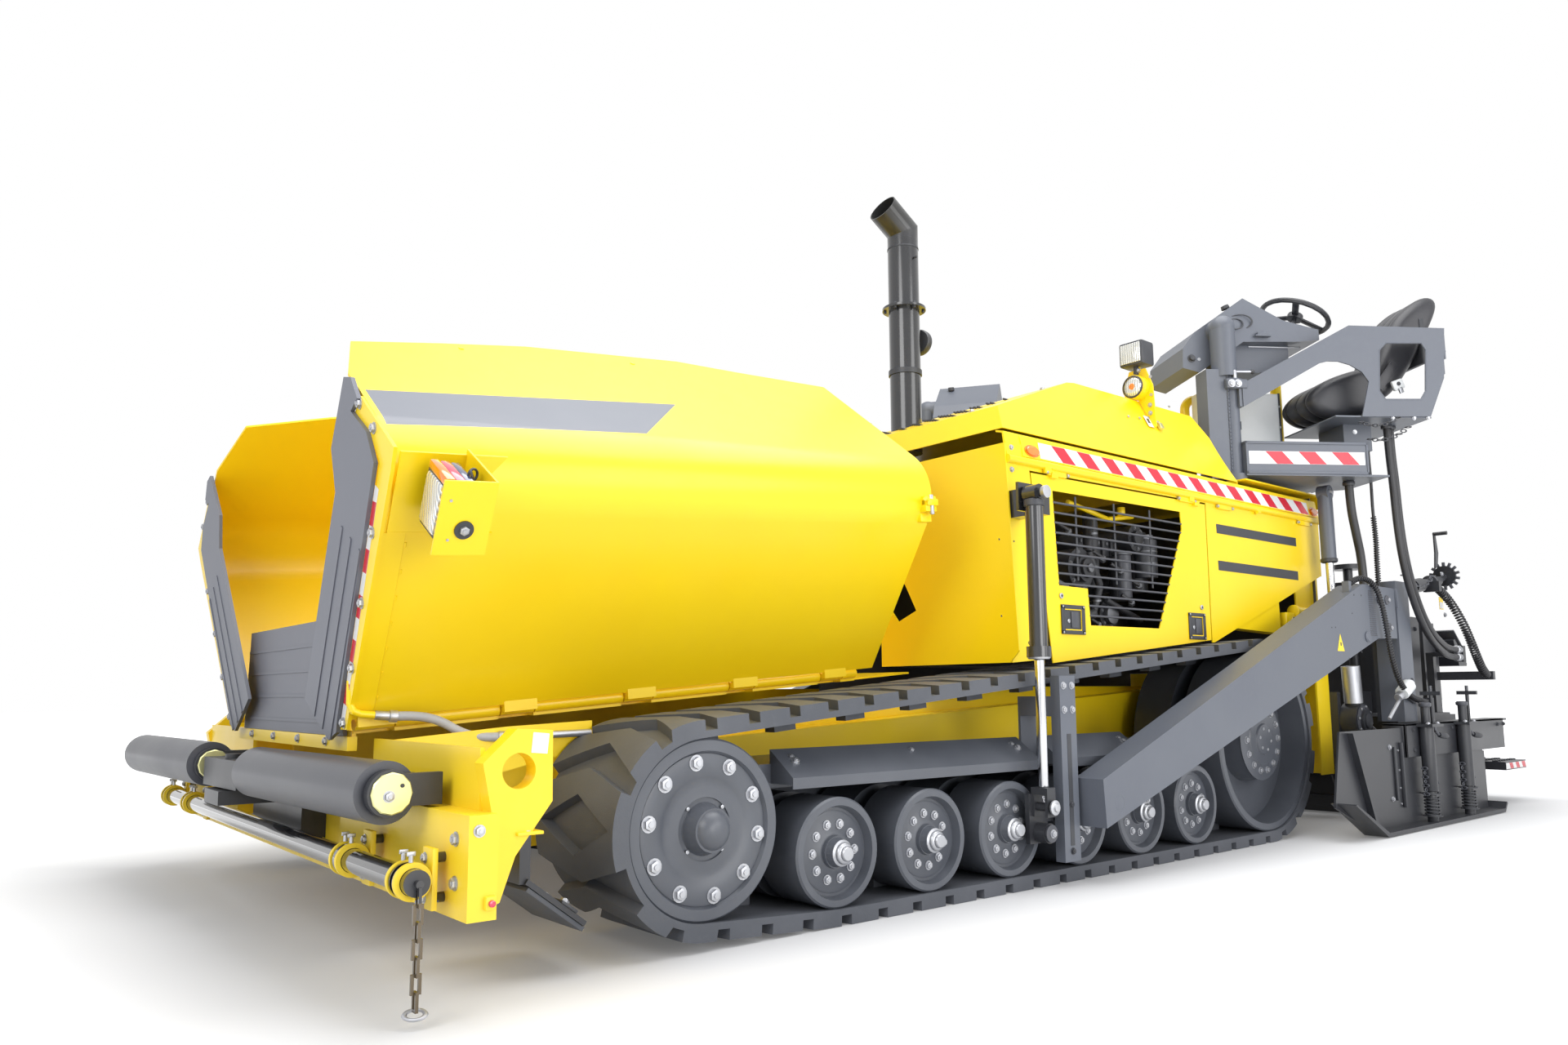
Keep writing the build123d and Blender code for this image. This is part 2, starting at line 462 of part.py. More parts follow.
platform += block(44, 52, -60, 20, 1837, 2009) + block(712, 720, -62, 460, 1837, 2009)
platform += flat_plate([(44, -66), (832, -66), (832, 300), (560, 460), (44, 460)], 1827, 1837)
platform += side_plate([(540, 2005), (725, 2005), (725, 2030), (610, 2150), (704, 2160), (1092, 2165), (884, 2088),
                        (760, 2040), (520, 2125)], -57, -49)
tray = block(560, 1100, -57, 440, 2150, 2158) + block(700, 860, 100, 330, 2005, 2152)
station = column + console + guard + platform + tray
pair("station", swung(station))
rails = tube([(0, 500, 1860), (0, 500, 2375), (150, 500, 2400)], 26, 60)
rails += bar((560, 500, 1860), (560, 500, 2560), 30) + bar((0, 500, 2100), (560, 500, 2100), 14)
pair("station_rail", swung(rails))
pair("station_cabinet", swung(block(30, 500, 380, 470, 2010, 2395)))
cushion = side_plate([(500, 2290), (520, 2240), (600, 2175), (900, 2215), (960, 2290), (950, 2430), (850, 2475),
                      (680, 2425), (560, 2370)], 60, 420)
backrest = side_plate([(905, 2350), (930, 2480), (1050, 2760), (1190, 2880), (1290, 2915), (1345, 2870), (1180, 2560),
                       (1060, 2380), (960, 2280)], 90, 390)
seat = cushion + backrest + block(700, 860, 140, 300, 2159, 2230)
pair("seat", swung(seat))
rim = [(164, 0), (171, -12), (185, -12), (192, 0), (185, 12), (171, 12)]
wheel = revolve(Plane.XZ * make_face(Polyline(*rim, close=True)), Axis.Z) + Cylinder(40, 30)
for turn in (0, 120, 240):
    wheel += Rot(0, 0, turn) * Pos(100, 0, 0) * Box(150, 26, 10)
wheel += Pos(0, 0, -95) * Cylinder(12, 190)
pair("steering_wheel", swung(Pos(*WHEEL_AT) * Rot(0, WHEEL_SLOPE, 0) * wheel))

# ---- tow points ----------------------------------------------------------------------------------
post = block(POST_FRONT, POST_REAR, 1358, 1400, 92, 777) + block(POST_FRONT, POST_REAR, 1201, 1358, 625, 700)
post += block(POST_FRONT, POST_REAR, 1201, 1212, 432, 700)
nodes["tow_guides"] = both(post)
ram = bar((RAM_X, RAM_Y, 845), (RAM_X, RAM_Y, 1440), 34) - bar((RAM_X, RAM_Y, 700), (RAM_X, RAM_Y, 1420), 24)
ram += bar((RAM_X, RAM_Y, 845), (RAM_X, RAM_Y, 885), 46) - bar((RAM_X, RAM_Y, 840), (RAM_X, RAM_Y, 886), 24)
ram += bar((RAM_X, RAM_Y - 30, 1462), (RAM_X, RAM_Y + 30, 1462), 34) + bar((RAM_X, RAM_Y - 60, 1462),
                                                                          (RAM_X, RAM_Y + 45, 1462), 16)
ram += block(RAM_X - 150, RAM_X + 40, RAM_Y - 52, RAM_Y - 40, 1400, 1510)
ram += block(RAM_X - 150, RAM_X - 80, BODY_Y + 4, RAM_Y - 45, 1400, 1510)
nodes["tow_rams"] = both(ram)
slider = block(RAM_X - 62, RAM_X + 42, 1330, 1349, 166, 345) + block(RAM_X, TOW_X - 50, 1331, 1349, 240, 360)
slider += bar((TOW_X, 1335, TOW_Z), (TOW_X, TOW_Y + ARM_HALF - 10, TOW_Z), TOW_PIN_R)
slider += bar((RAM_X, RAM_Y, 365), (RAM_X, RAM_Y, 1000), 18)
slider += block(RAM_X - 24, RAM_X + 24, 1345, 1358, 265, 345) + block(RAM_X - 24, RAM_X + 24, 1406, 1418, 265, 345)
slider += block(RAM_X - 24, RAM_X + 24, 1345, 1418, 345, 370) + bar((RAM_X, 1340, 300), (RAM_X, 1430, 300), 16)
slider += bar((RAM_X - 10, 1345, 205), (RAM_X - 10, 1400, 205), 36)
nodes["tow_sliders"] = both(slider)

# ---- tow arms ------------------------------------------------------------------------------------
ARM_OUT, ARM_IN = TOW_Y + ARM_HALF, TOW_Y - ARM_HALF
arm = side_plate([(-1171, 213), (-1158, 392), (-3500, 1258), (-3893, 1256), (-3893, 985), (-3653, 979)], ARM_IN,
                 ARM_OUT)
arm -= side_plate([(-1140, 150), (-1140, 450), (-3600, 1350), (-3960, 1350), (-3960, 985), (-3900, 850)], ARM_IN + 12,
                  ARM_OUT - 12) & side_plate([(-1330, 220), (-1330, 440), (-3480, 1250), (-3650, 1250), (-3650, 990)],
                                             ARM_IN, ARM_OUT)
arm -= bar((TOW_X, 1300, TOW_Z), (TOW_X, 1500, TOW_Z), TOW_PIN_R + FIT)
arm += bar((LIFT_EYE[0], LIFT_EYE[1] + 44, LIFT_EYE[2]), (LIFT_EYE[0], TOW_Y, LIFT_EYE[2]), 28)
column = block(-3916, -4081, 1375, ARM_OUT, 540, 1300) + block(-3890, -3920, 1385, ARM_OUT - 10, 985, 1256)
arm += column
nodes["tow_arms"] = both(arm) + block(-3370, -3400, 1448, 1482, 1195, 1268)

# ---- screed --------------------------------------------------------------------------------------
SCREED_IN = 1365.0
frame = block(SCREED_FRONT, SCREED_FRONT - 12, -SCREED_IN, SCREED_IN, 70, 560)
frame += block(SCREED_FRONT, SCREED_REAR, -SCREED_IN, SCREED_IN, 548, 560)
frame += block(SCREED_REAR + 12, SCREED_REAR, -SCREED_IN, SCREED_IN, 330, 560)
for y in (0, 700, SCREED_IN - 12):
    frame += both(block(SCREED_FRONT, SCREED_REAR, y, y + 12, 70, 560))
side_post = side_plate([(-3920, 540), (-3920, 1240), (-4107, 982), (-4420, 1130), (-4520, 1128), (-4500, 560),
                        (-4150, 540)], 1352, 1374.5)
frame += both(side_post)
frame += both(block(-4440, -4920, 1300, 1364, 560, 572) + block(-4440, -4452, 1240, 1364, 560, 1100))
nodes["screed_frame"] = frame
plate = side_plate([(SCREED_FRONT + 22, 100), (SCREED_FRONT + 10, 45), (SCREED_FRONT - 30, 4), (SCREED_REAR, 4),
                    (SCREED_REAR, 69.5), (SCREED_FRONT + 2, 69.5), (SCREED_FRONT + 10, 104)], -1490, 1490)
plate -= block(SCREED_FRONT - 60, SCREED_REAR + 20, -1470, 1470, 22, 60)
nodes["screed_plate"] = plate

GATE_Y = 1534.0
gate = side_plate([(-3010, 513), (-2925, 181), (-2925, 160), (-3290, 24), (-4870, 24), (-4870, 340), (-4640, 513)],
                  GATE_Y, GATE_Y + 10)
gate -= side_plate([(-3640, 120), (-3640, 420), (-3560, 420), (-3560, 120)], GATE_Y - 50, GATE_Y + 50)
gate += side_plate([(-2941, 178), (-2953, 182), (-3290, 24), (-4880, 24), (-4913, 60), (-4925, 50), (-4880, 4),
                    (-3280, 4)], GATE_Y - 22, GATE_Y + 95)
gate += side_plate([(-3300, 24), (-3330, 24), (-3095, 500), (-3085, 505)], GATE_Y, GATE_Y + 40)
beam = block(-3740, -5240, GATE_Y - 90, GATE_Y + 26, 360, 533)
beam -= block(-3752, -5300, GATE_Y - 102, GATE_Y + 14, 320, 521)
beam -= block(-5180, -5300, GATE_Y - 100, GATE_Y + 50, 430, 480)
for x in (-4360, -5080):
    beam -= block(x - 12, x + 12, GATE_Y, GATE_Y + 60, 400, 490)
gate += beam
for x in (-3920, -4440):
    gate += bar((x, GATE_Y + 60, 20), (x, GATE_Y + 60, 200), 26) + bar((x, GATE_Y + 60, 180), (x, GATE_Y + 60, 520), 34)
    gate += bar((x, GATE_Y + 60, 520), (x, GATE_Y + 60, 620), 22)
    gate += block(x - 110, x + 40, GATE_Y + 20, GATE_Y + 105, 515, 530)
    gate += bar((x - 90, GATE_Y + 60, 525), (x - 90, GATE_Y + 60, 685), 9)
    gate += block(x - 100, x - 80, GATE_Y + 10, GATE_Y + 110, 680, 700)
gate += block(-4660, -4990, GATE_Y - 40, GATE_Y - 28, 30, 345) + block(-4660, -4672, GATE_Y - 90, GATE_Y + 5, 75, 345)
gate = both(gate) + block(-4160, -4185, 1500, 1545, 521, 665)
nodes["end_gates"] = gate

walk = block(-5200, -5540, -1400, 1400, 372, 412) + block(-5420, WALK_REAR, -1480, 1480, 205, 255)
walk += block(SCREED_REAR - 1, -5200, -1400, 1400, 340, 360) + both(block(-5180, -5300, 690, 720, 205, 372))
walk += both(block(-5180, -5440, 690, 720, 205, 240)) + block(-5180, -5202, -1400, 1400, 340, 412)
nodes["screed_walkway"] = walk
tower = both(block(-4900, -5080, 300, 312, 561, 1120) + block(-4900, -5080, 1240, 1252, 561, 1120))
tower += both(block(-4900, -4912, 312, 1240, 561, 1120) + block(-5040, -5090, 1225, 1265, 561, 940))
tower += both(bar((-4740, 900, 561), (-4740, 900, 1480), 28) + block(-4640, -4840, 850, 950, 561, 700))
tower += both(bar((-4740, 900, 1470), (-4740, 900, 1500), 90) + block(-4600, -4880, 860, 940, 1300, 1380))
tower += both(block(-4165, -4235, 600, 640, 561, 900) + bar((-4200, 620, 860), (-4740, 900, 1330), 32))
box = side_plate([(-5136, 1012), (-5160, 1020), (-5330, 870), (-5322, 854), (-5200, 854)], 1180, 1340)
# arms for the hoses' block and the plug of the coiled cable
tower += block(-4790, -4830, 1465, 1505, 870, 965) + block(-4790, -4830, 1300, 1465, 905, 930)
tower += block(-4790, -4830, 1300, 1340, 572, 930) + block(-5000, -5035, 1250, 1585, 765, 815)
# thickness screw behind the left arm's column: bar, plate, star wheel and crank
for side_sign in (1, -1):
    y = side_sign * 1434
    screw = bar((-4085, y, 1262), (-4700, y, 1352), 26) + bar((-4300, y, 1294), (-4420, y, 1311), 40)
    screw += side_plate([(-4700, 1440), (-4790, 1400), (-4800, 1200), (-4690, 1130), (-4560, 1090), (-4520, 1000),
                         (-4560, 560), (-4660, 560), (-4650, 1180)], y - 6, y + 6)
    screw += bar((-4795, y, 1385), (-4812, y, 1388), 62) + bar((-4700, y, 1352), (-4840, y, 1392), 18)
    screw += side_plate([(-4700, 1440), (-4725, 1520), (-4700, 1640), (-4680, 1640), (-4680, 1520), (-4660, 1420)],
                        y - 4, y + 4) + bar((-4690, y - 5, 1632), (-4690, y + 70, 1632), 11)
    tower += screw
tower += block(-4500, -4535, 1420, 1506, 1274, 1334)
nodes["screed_tower"] = tower + both(box)

# ---- lift cylinders ------------------------------------------------------------------------------
top, eye = Vector(*LIFT_TOP), Vector(*LIFT_EYE)
down = (eye - top).normalized()
barrel = bar(top, top + down * LIFT_BARREL, 38) + bar(top - Vector(0, 30, 0), top + Vector(0, 30, 0), 40)
barrel -= bar(top + down * 60, top + down * (LIFT_BARREL + 20), 26)
nodes["lift_barrels"] = both(barrel)
rod = bar(eye - down * LIFT_ROD, eye, 20) + bar(eye - Vector(0, 24, 0), eye + Vector(0, 34, 0), 36)
nodes["lift_rods"] = both(rod)

# ---- augers --------------------------------------------------------------------------------------
drive_case = block(-3701, AUGER_X - 70, -55, 55, 200, 760) + bar((AUGER_X, -68, AUGER_Z), (AUGER_X, 68, AUGER_Z), 100)
hanger = block(-3701, -3740, 1180, 1240, 300, 700) + block(-3740, AUGER_X - 60, 1226, 1240, 300, 480)
hanger += bar((-3800, 1240, 545), (-3800, 1330, 545), 95) + bar((-3800, 1330, 545), (-3800, 1352, 545), 60)
hanger += bar((-3800, 1290, 545), (-3780, 1290, 840), 45)
nodes["auger_drive"] = drive_case + both(hanger)
spiral = bar((AUGER_X, 74, AUGER_Z), (AUGER_X, 1210, AUGER_Z), 45)
TURNS, STEPS, FLIGHT_T = 4, 10, 10
flights = []
for i in range(TURNS * STEPS):
    edges = []
    for k in (i, i + 1):
        a, y = 2 * math.pi * k / STEPS, 90 + 1080 * k / (TURNS * STEPS)
        edges.append([(AUGER_X + r * math.cos(a), y, AUGER_Z + r * math.sin(a)) for r in (38, AUGER_R)])
    (inner0, outer0), (inner1, outer1) = edges
    for corners in ((inner0, outer0, outer1), (inner0, outer1, inner1)):
        flights.append(Solid.extrude(make_face(Polyline(*corners, close=True)).face(), Vector(0, FLIGHT_T, 0)))
spiral = spiral + flights
pair("auger", spiral)

# ---- hoses and cables at the left station ---------------------------------------------------------
# each row: name, outer diameter, route
HOSES = [
    ("rear_hose_outer", 36, [(-3865, 1530, 2149.9), (-3865, 1530, 2000), (-3874, 1536, 1830), (-3868, 1542, 1640),
                             (-3884, 1548, 1440), (-3950, 1550, 1260), (-4070, 1548, 1095), (-4230, 1538, 985),
                             (-4430, 1518, 925), (-4640, 1485, 897), (-4789.9, 1485, 897)]),
    ("rear_hose_inner", 36, [(-3910, 1530, 2149.9), (-3910, 1530, 2000), (-3920, 1536, 1832), (-3914, 1542, 1648),
                             (-3930, 1548, 1456), (-3990, 1550, 1288), (-4102, 1548, 1128), (-4250, 1538, 1026),
                             (-4442, 1518, 968), (-4645, 1485, 942), (-4789.9, 1485, 942)]),
    ("platform_hose", 44, [(-3603, 1420, 1826.9), (-3603, 1420, 1690), (-3650, 1420, 1545), (-3700, 1420, 1400),
                           (-3700, 1420, 1257.1)]),
    ("console_cable", 16, [(-3828, 1440, 2149.9), (-3828, 1440, 2000), (-3836, 1441, 1840), (-3826, 1442, 1680),
                           (-3850, 1440, 1530), (-3843, 1438, 1390), (-3843, 1438, 1256.5)]),
    ("wrapped_cable", 20, [(-3395, 1465, 1246), (-3460, 1468, 1280), (-3545, 1490, 1296), (-3618, 1514, 1250),
                           (-3655, 1524, 1150), (-3685, 1526, 1030), (-3710, 1526, 900), (-3765, 1526, 785),
                           (-3870, 1526, 695), (-4010, 1524, 652), (-4165, 1522, 640)]),
    ("coiled_cable", 54, [(-4530, 1476, 1304), (-4612, 1490, 1263), (-4667, 1518, 1186), (-4710, 1547, 1087),
                          (-4762, 1562, 980), (-4830, 1566, 885), (-4912, 1562, 815), (-5005, 1556, 784)]),
]
for name, diameter, route in HOSES:
    points = [Vector(*point) for point in route]
    runs = [b - a for a, b in zip(points, points[1:])]
    radii = [0.45 * min(a.length, b.length) / math.tan(math.radians(a.get_angle(b)) / 2)
             for a, b in zip(runs, runs[1:])]
    path = FilletPolyline(*points, radius=radii)
    nodes[name] = sweep(Plane(origin=path @ 0, z_dir=path % 0) * Circle(diameter / 2), path=path)
    print(name, "length", round(path.length), "smallest radius", round(min(radii)), "volume share",
          round(nodes[name].volume / (path.length * math.pi * diameter ** 2 / 4), 3))

# ---- files ---------------------------------------------------------------------------------------
os.makedirs("parts", exist_ok=True)
for name, shape in nodes.items():
    export_step(Pos(ORIGIN_X, 0, 0) * shape, f"parts/{name}.step")
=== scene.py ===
import math

import bmesh
import bpy
from mathutils import Matrix, Vector
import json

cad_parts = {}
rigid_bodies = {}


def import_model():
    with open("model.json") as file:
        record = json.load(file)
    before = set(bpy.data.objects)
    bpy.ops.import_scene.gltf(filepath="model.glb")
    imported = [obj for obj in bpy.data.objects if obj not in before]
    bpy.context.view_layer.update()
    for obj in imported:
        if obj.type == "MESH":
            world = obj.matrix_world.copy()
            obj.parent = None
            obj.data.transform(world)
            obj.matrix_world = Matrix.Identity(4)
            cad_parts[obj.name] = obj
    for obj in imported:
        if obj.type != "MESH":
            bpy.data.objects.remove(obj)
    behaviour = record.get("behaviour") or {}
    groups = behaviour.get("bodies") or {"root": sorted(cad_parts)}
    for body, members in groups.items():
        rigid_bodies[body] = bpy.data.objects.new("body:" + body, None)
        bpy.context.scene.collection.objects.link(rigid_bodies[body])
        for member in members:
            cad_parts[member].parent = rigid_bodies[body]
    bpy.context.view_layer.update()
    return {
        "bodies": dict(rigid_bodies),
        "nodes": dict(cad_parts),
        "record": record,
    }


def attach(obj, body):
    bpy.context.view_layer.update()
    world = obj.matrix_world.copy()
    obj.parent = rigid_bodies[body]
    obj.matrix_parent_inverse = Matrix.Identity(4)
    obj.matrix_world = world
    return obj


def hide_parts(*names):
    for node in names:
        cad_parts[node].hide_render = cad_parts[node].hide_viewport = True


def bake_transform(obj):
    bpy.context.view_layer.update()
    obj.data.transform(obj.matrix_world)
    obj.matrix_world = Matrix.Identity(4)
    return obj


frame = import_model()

# ---- camera, floor and lamps ---------------------------------------------------------------------
# A studio with a pale floor and soft lamps. The camera stands low at the machine's front left corner.
scene = bpy.context.scene
scene.view_settings.view_transform = "Standard"
camera = bpy.data.objects.new("studio_camera", bpy.data.cameras.new("studio_camera"))
camera.data.lens, camera.data.sensor_width = 24.502, 36.0
camera.data.shift_x, camera.data.shift_y = -0.00813, 0.02611
camera.data.clip_start = 0.05
look = Vector((-0.63246078, -0.76532617, 0.11945382))
across = Vector((-0.77141589, 0.63628414, -0.00774683))
camera.matrix_world = Matrix.Translation((4.38153, 3.87981, 0.72451)) @ Matrix(
    (across, across.cross(look), -look)).transposed().to_4x4()
scene.collection.objects.link(camera)
scene.camera = camera


class Wire:
    """A shader socket that can be used in sums; numbers and other sockets may stand beside it."""

    def __init__(self, finish, socket):
        self.finish, self.socket = finish, socket

    def out(self, place):
        return Wire(self.finish, self.socket.node.outputs[place])

    def math(self, operation, *others):
        node = self.finish.tree.nodes.new("ShaderNodeMath")
        node.operation = operation
        for place, value in zip(node.inputs, others):
            self.finish.join(value, place)
        return Wire(self.finish, node.outputs[0])

    def __add__(self, other):
        return self.math("ADD", self, other)

    def __sub__(self, other):
        return self.math("SUBTRACT", self, other)

    def __rsub__(self, other):
        return self.math("SUBTRACT", other, self)

    def __mul__(self, other):
        return self.math("MULTIPLY", self, other)

    __radd__, __rmul__ = __add__, __mul__

    def __lt__(self, other):
        return self.math("LESS_THAN", self, other)

    def __gt__(self, other):
        return self.math("GREATER_THAN", self, other)


class Finish:
    """One finish: a Principled shader with fixed values, and nodes that vary some of them."""

    def __init__(self, name, color, rough, metal=0.0, **fixed):
        self.material = bpy.data.materials.new(name)
        self.material.use_nodes = True
        self.tree = self.material.node_tree
        self.shader = self.tree.nodes["Principled BSDF"]
        self.set(Base_Color=(*color, 1), Roughness=rough, Metallic=metal, **fixed)

    def join(self, value, place):
        if isinstance(value, Wire):
            self.tree.links.new(value.socket, place)
        else:
            place.default_value = value

    def set(self, **inputs):
        for name, value in inputs.items():
            self.join(value, self.shader.inputs[name.replace("_", " ")])

    def node(self, kind, settings=None, out=0, **inputs):
        """Adds a node; inputs are named as on the node, or in0, in1 by place."""
        made = self.tree.nodes.new("ShaderNode" + kind)
        for name, value in (settings or {}).items():
            setattr(made, name, value)
        for name, value in inputs.items():
            self.join(value, made.inputs[int(name[2:]) if name[:2] == "in" else name.replace("_", " ")])
        return Wire(self, made.outputs[out])

    def axes(self, out=0):
        """A point's X, Y or Z in metres."""
        return self.node("SeparateXYZ", out=out, Vector=self.node("TexCoord", out=3))

    def where(self, stretch=(1, 1, 1)):
        place = self.node("TexCoord", out=3)
        return self.node("Mapping", Vector=place, Scale=stretch)

    def noise(self, scale, detail=3.0, rough=0.5, stretch=(1, 1, 1)):
        return self.node("TexNoise", Vector=self.where(stretch), Scale=scale, Detail=detail, Roughness=rough)

    def blend(self, share, first, second):
        first = (*first, 1) if isinstance(first, tuple) else first
        second = (*second, 1) if isinstance(second, tuple) else second
        return self.node("Mix", {"data_type": "RGBA"}, out=2, in0=share, in6=first, in7=second)

    def band(self, value, low, high):
        """0 below low, 1 above high."""
        return self.node("MapRange", Value=value, From_Min=low, From_Max=high)

    def bump(self, height, strength, distance=0.001):
        self.set(Normal=self.node("Bump", Strength=strength, Distance=distance, Height=height))


backdrop = Finish("studio_floor", (0.90, 0.90, 0.90), 0.9)
spot = backdrop.axes()
# the floor's colour is painted darker over and within 0.9 m of the machine's footprint: a painted shadow under the
# machine
outside = spot.math("MAXIMUM", spot.math("ABSOLUTE", spot) - 3.3, spot.math("ABSOLUTE", spot.out(1)) - 1.2)
backdrop.set(Base_Color=backdrop.blend(backdrop.band(outside, 0.0, 0.9), (0.50, 0.50, 0.51), (0.90, 0.90, 0.90)))
rays = backdrop.node("LightPath") + backdrop.node("LightPath", out=3) + backdrop.node("LightPath", out=6)
away = backdrop.node("VectorMath", {"operation": "LENGTH"}, out=1, in0=backdrop.node("TexCoord", out=3))
glow = backdrop.blend(backdrop.band(away, 3.5, 12.0), (0.10, 0.10, 0.10), (1.0, 1.0, 1.0))
backdrop.set(Emission_Color=backdrop.blend(rays, (0, 0, 0), glow), Emission_Strength=1.0)
grid = bmesh.new()
bmesh.ops.create_grid(grid, x_segments=1, y_segments=1, size=60)
floor_mesh = bpy.data.meshes.new("studio_floor")
grid.to_mesh(floor_mesh)
floor_mesh.materials.append(backdrop.material)
studio_floor = bpy.data.objects.new("studio_floor", floor_mesh)
studio_floor.location.z = -0.001
scene.collection.objects.link(studio_floor)

world = bpy.data.worlds.new("studio")
world.use_nodes = True
sky = world.node_tree
lit, seen, pick, which = (sky.nodes["Background"], sky.nodes.new("ShaderNodeBackground"),
                          sky.nodes.new("ShaderNodeMixShader"), sky.nodes.new("ShaderNodeLightPath"))
lit.inputs["Color"].default_value, lit.inputs["Strength"].default_value = (0.95, 0.97, 1.0, 1), 0.55
seen.inputs["Color"].default_value, seen.inputs["Strength"].default_value = (1, 1, 1, 1), 1.0
total = which.outputs["Is Camera Ray"]
for kind in ("Is Glossy Ray", "Is Transmission Ray"):
    both = sky.nodes.new("ShaderNodeMath")
    sky.links.new(total, both.inputs[0])
    sky.links.new(which.outputs[kind], both.inputs[1])
    total = both.outputs[0]
sky.links.new(total, pick.inputs["Fac"])
sky.links.new(lit.outputs["Background"], pick.inputs[1])
sky.links.new(seen.outputs["Background"], pick.inputs[2])
sky.links.new(pick.outputs["Shader"], sky.nodes["World Output"].inputs["Surface"])
scene.world = world
for name, place, aim, size, watts in (
        ("overhead", (0.5, 1.5, 7.0), (0, 0, 1), 7.0, 430), ("front", (7.5, 3.0, 4.0), (1, 0.3, 1), 4.0, 170),
        ("side", (-1.5, 8.5, 3.5), (-1.0, 0, 1), 5.0, 200),
        ("low", (2.5, 8.0, 1.2), (-0.5, 0.5, 0.9), 3.5, 150)):
    lamp = bpy.data.objects.new(name + "_lamp", bpy.data.lights.new(name + "_lamp", "AREA"))
    lamp.data.shape, lamp.data.size, lamp.data.energy = "DISK", size, watts
    toward = (Vector(aim) - Vector(place)).to_track_quat("-Z", "Y")
    lamp.matrix_world = Matrix.Translation(place) @ toward.to_matrix().to_4x4()
    scene.collection.objects.link(lamp)

# ---- paint on the steelwork ----------------------------------------------------------------------
# Sheet and plate parts are sprayed in yellow gloss, dark grey and black. Each paint has a faint
# orange-peel skin and uneven gloss, with dust gathered low down.
def sprayed_yellow(name):
    """The yellow finish, and its colour before anything is laid over it."""
    paint = Finish(name, (0.95, 0.66, 0.006), 0.34, Coat_Weight=0.1, Coat_Roughness=0.14)
    height = paint.axes(out=2)
    cloud = paint.noise(1.3, 4.0)
    fade = paint.blend(paint.band(cloud, 0.3, 0.75), (0.98, 0.71, 0.006), (0.93, 0.63, 0.006))
    dust = paint.band(height + cloud * 0.5, 0.95, 0.35) * paint.noise(9.0, 6.0, 0.65) * 0.35
    color = paint.blend(dust, fade, (0.55, 0.42, 0.16))
    paint.set(Base_Color=color, Roughness=paint.noise(5.0, 5.0) * 0.16 + 0.26 + dust)
    paint.bump(paint.noise(420.0, 2.0), 0.05)
    return paint, color


yellow_paint = sprayed_yellow("yellow_paint")[0]


def plain_paint(name, color, worn, rough, metal=0.0, grain=520.0, skin=0.08):
    """A satin paint that shades towards its worn colour in patches."""
    paint = Finish(name, color, rough, metal, Coat_Weight=0.08, Coat_Roughness=0.3)
    cloud = paint.noise(2.6, 5.0, 0.6)
    scuff = paint.band(paint.noise(24.0, 6.0, 0.7), 0.52, 0.8) * 0.5
    paint.set(Base_Color=paint.blend(scuff, paint.blend(paint.band(cloud, 0.35, 0.7), color, worn), worn),
              Roughness=cloud * 0.25 + (rough - 0.1))
    paint.bump(paint.noise(grain, 2.0), skin)
    return paint


grey_paint = plain_paint("grey_paint", (0.098, 0.109, 0.137), (0.118, 0.130, 0.156), 0.42)
black_paint = plain_paint("black_paint", (0.020, 0.021, 0.026), (0.034, 0.036, 0.042), 0.38)
roller_grey = plain_paint("roller_grey", (0.055, 0.058, 0.070), (0.075, 0.078, 0.092), 0.36)
wheel_paint = plain_paint("wheel_paint", (0.074, 0.081, 0.098), (0.098, 0.106, 0.124), 0.36)
belt_rubber = plain_paint("belt_rubber", (0.064, 0.070, 0.084), (0.096, 0.102, 0.118), 0.62, grain=190.0, skin=0.3)
rib_rubber = plain_paint("rib_rubber", (0.135, 0.142, 0.172), (0.160, 0.168, 0.198), 0.50, grain=260.0, skin=0.15)
seat_vinyl = plain_paint("seat_vinyl", (0.020, 0.020, 0.025), (0.030, 0.031, 0.037), 0.40, grain=700.0, skin=0.35)
white_panel = plain_paint("white_panel", (0.78, 0.80, 0.81), (0.70, 0.73, 0.74), 0.40)
lamp_housing = plain_paint("lamp_housing", (0.030, 0.032, 0.038), (0.045, 0.047, 0.055), 0.45)
hose_rubber = plain_paint("hose_rubber", (0.016, 0.016, 0.019), (0.028, 0.028, 0.032), 0.42, grain=600.0, skin=0.2)
bright_steel = Finish("bright_steel", (0.62, 0.63, 0.66), 0.16, 1.0)
bright_steel.set(Roughness=bright_steel.noise(3.0, 5.0, stretch=(1, 1, 0.1)) * 0.16 + 0.08)
zinc = plain_paint("zinc", (0.42, 0.43, 0.46), (0.52, 0.53, 0.56), 0.40, metal=0.85, grain=300.0)
dull_steel = plain_paint("dull_steel", (0.16, 0.165, 0.18), (0.24, 0.245, 0.26), 0.45, metal=0.8, grain=300.0)

on_slot = {"yellow_paint": yellow_paint, "grey_paint": grey_paint, "black_paint": black_paint,
           "rubber": belt_rubber, "rib_cover": rib_rubber, "bright_steel": bright_steel,
           "roller_grey": roller_grey, "seat_vinyl": seat_vinyl, "lamp_housing": lamp_housing,
           "white_panel": white_panel, "hose_rubber": hose_rubber}
slot_of = {part["node"]: part["material_slot"] for part in frame["record"]["subparts"]}
for name, node in frame["nodes"].items():
    node.data.materials.clear()
    node.data.materials.append(on_slot[slot_of[name]].material)
for dark in ("road_wheels", "drive_wheels", "track_frames"):
    frame["nodes"][dark].data.materials[0] = wheel_paint.material
frame["nodes"]["tow_guides"].data.materials[0] = grey_paint.material

# ---- hoses and cables ----------------------------------------------------------------------------
# Black rubber hoses hang in long bights from the left station's console to the screed and the deck, so
# that the station can swing. A spiral-wrapped cable and a curly cord serve the screed's controls.
AXLE_AT = 2.10013       # the front road wheel's axle, ahead of the machine's middle, in metres


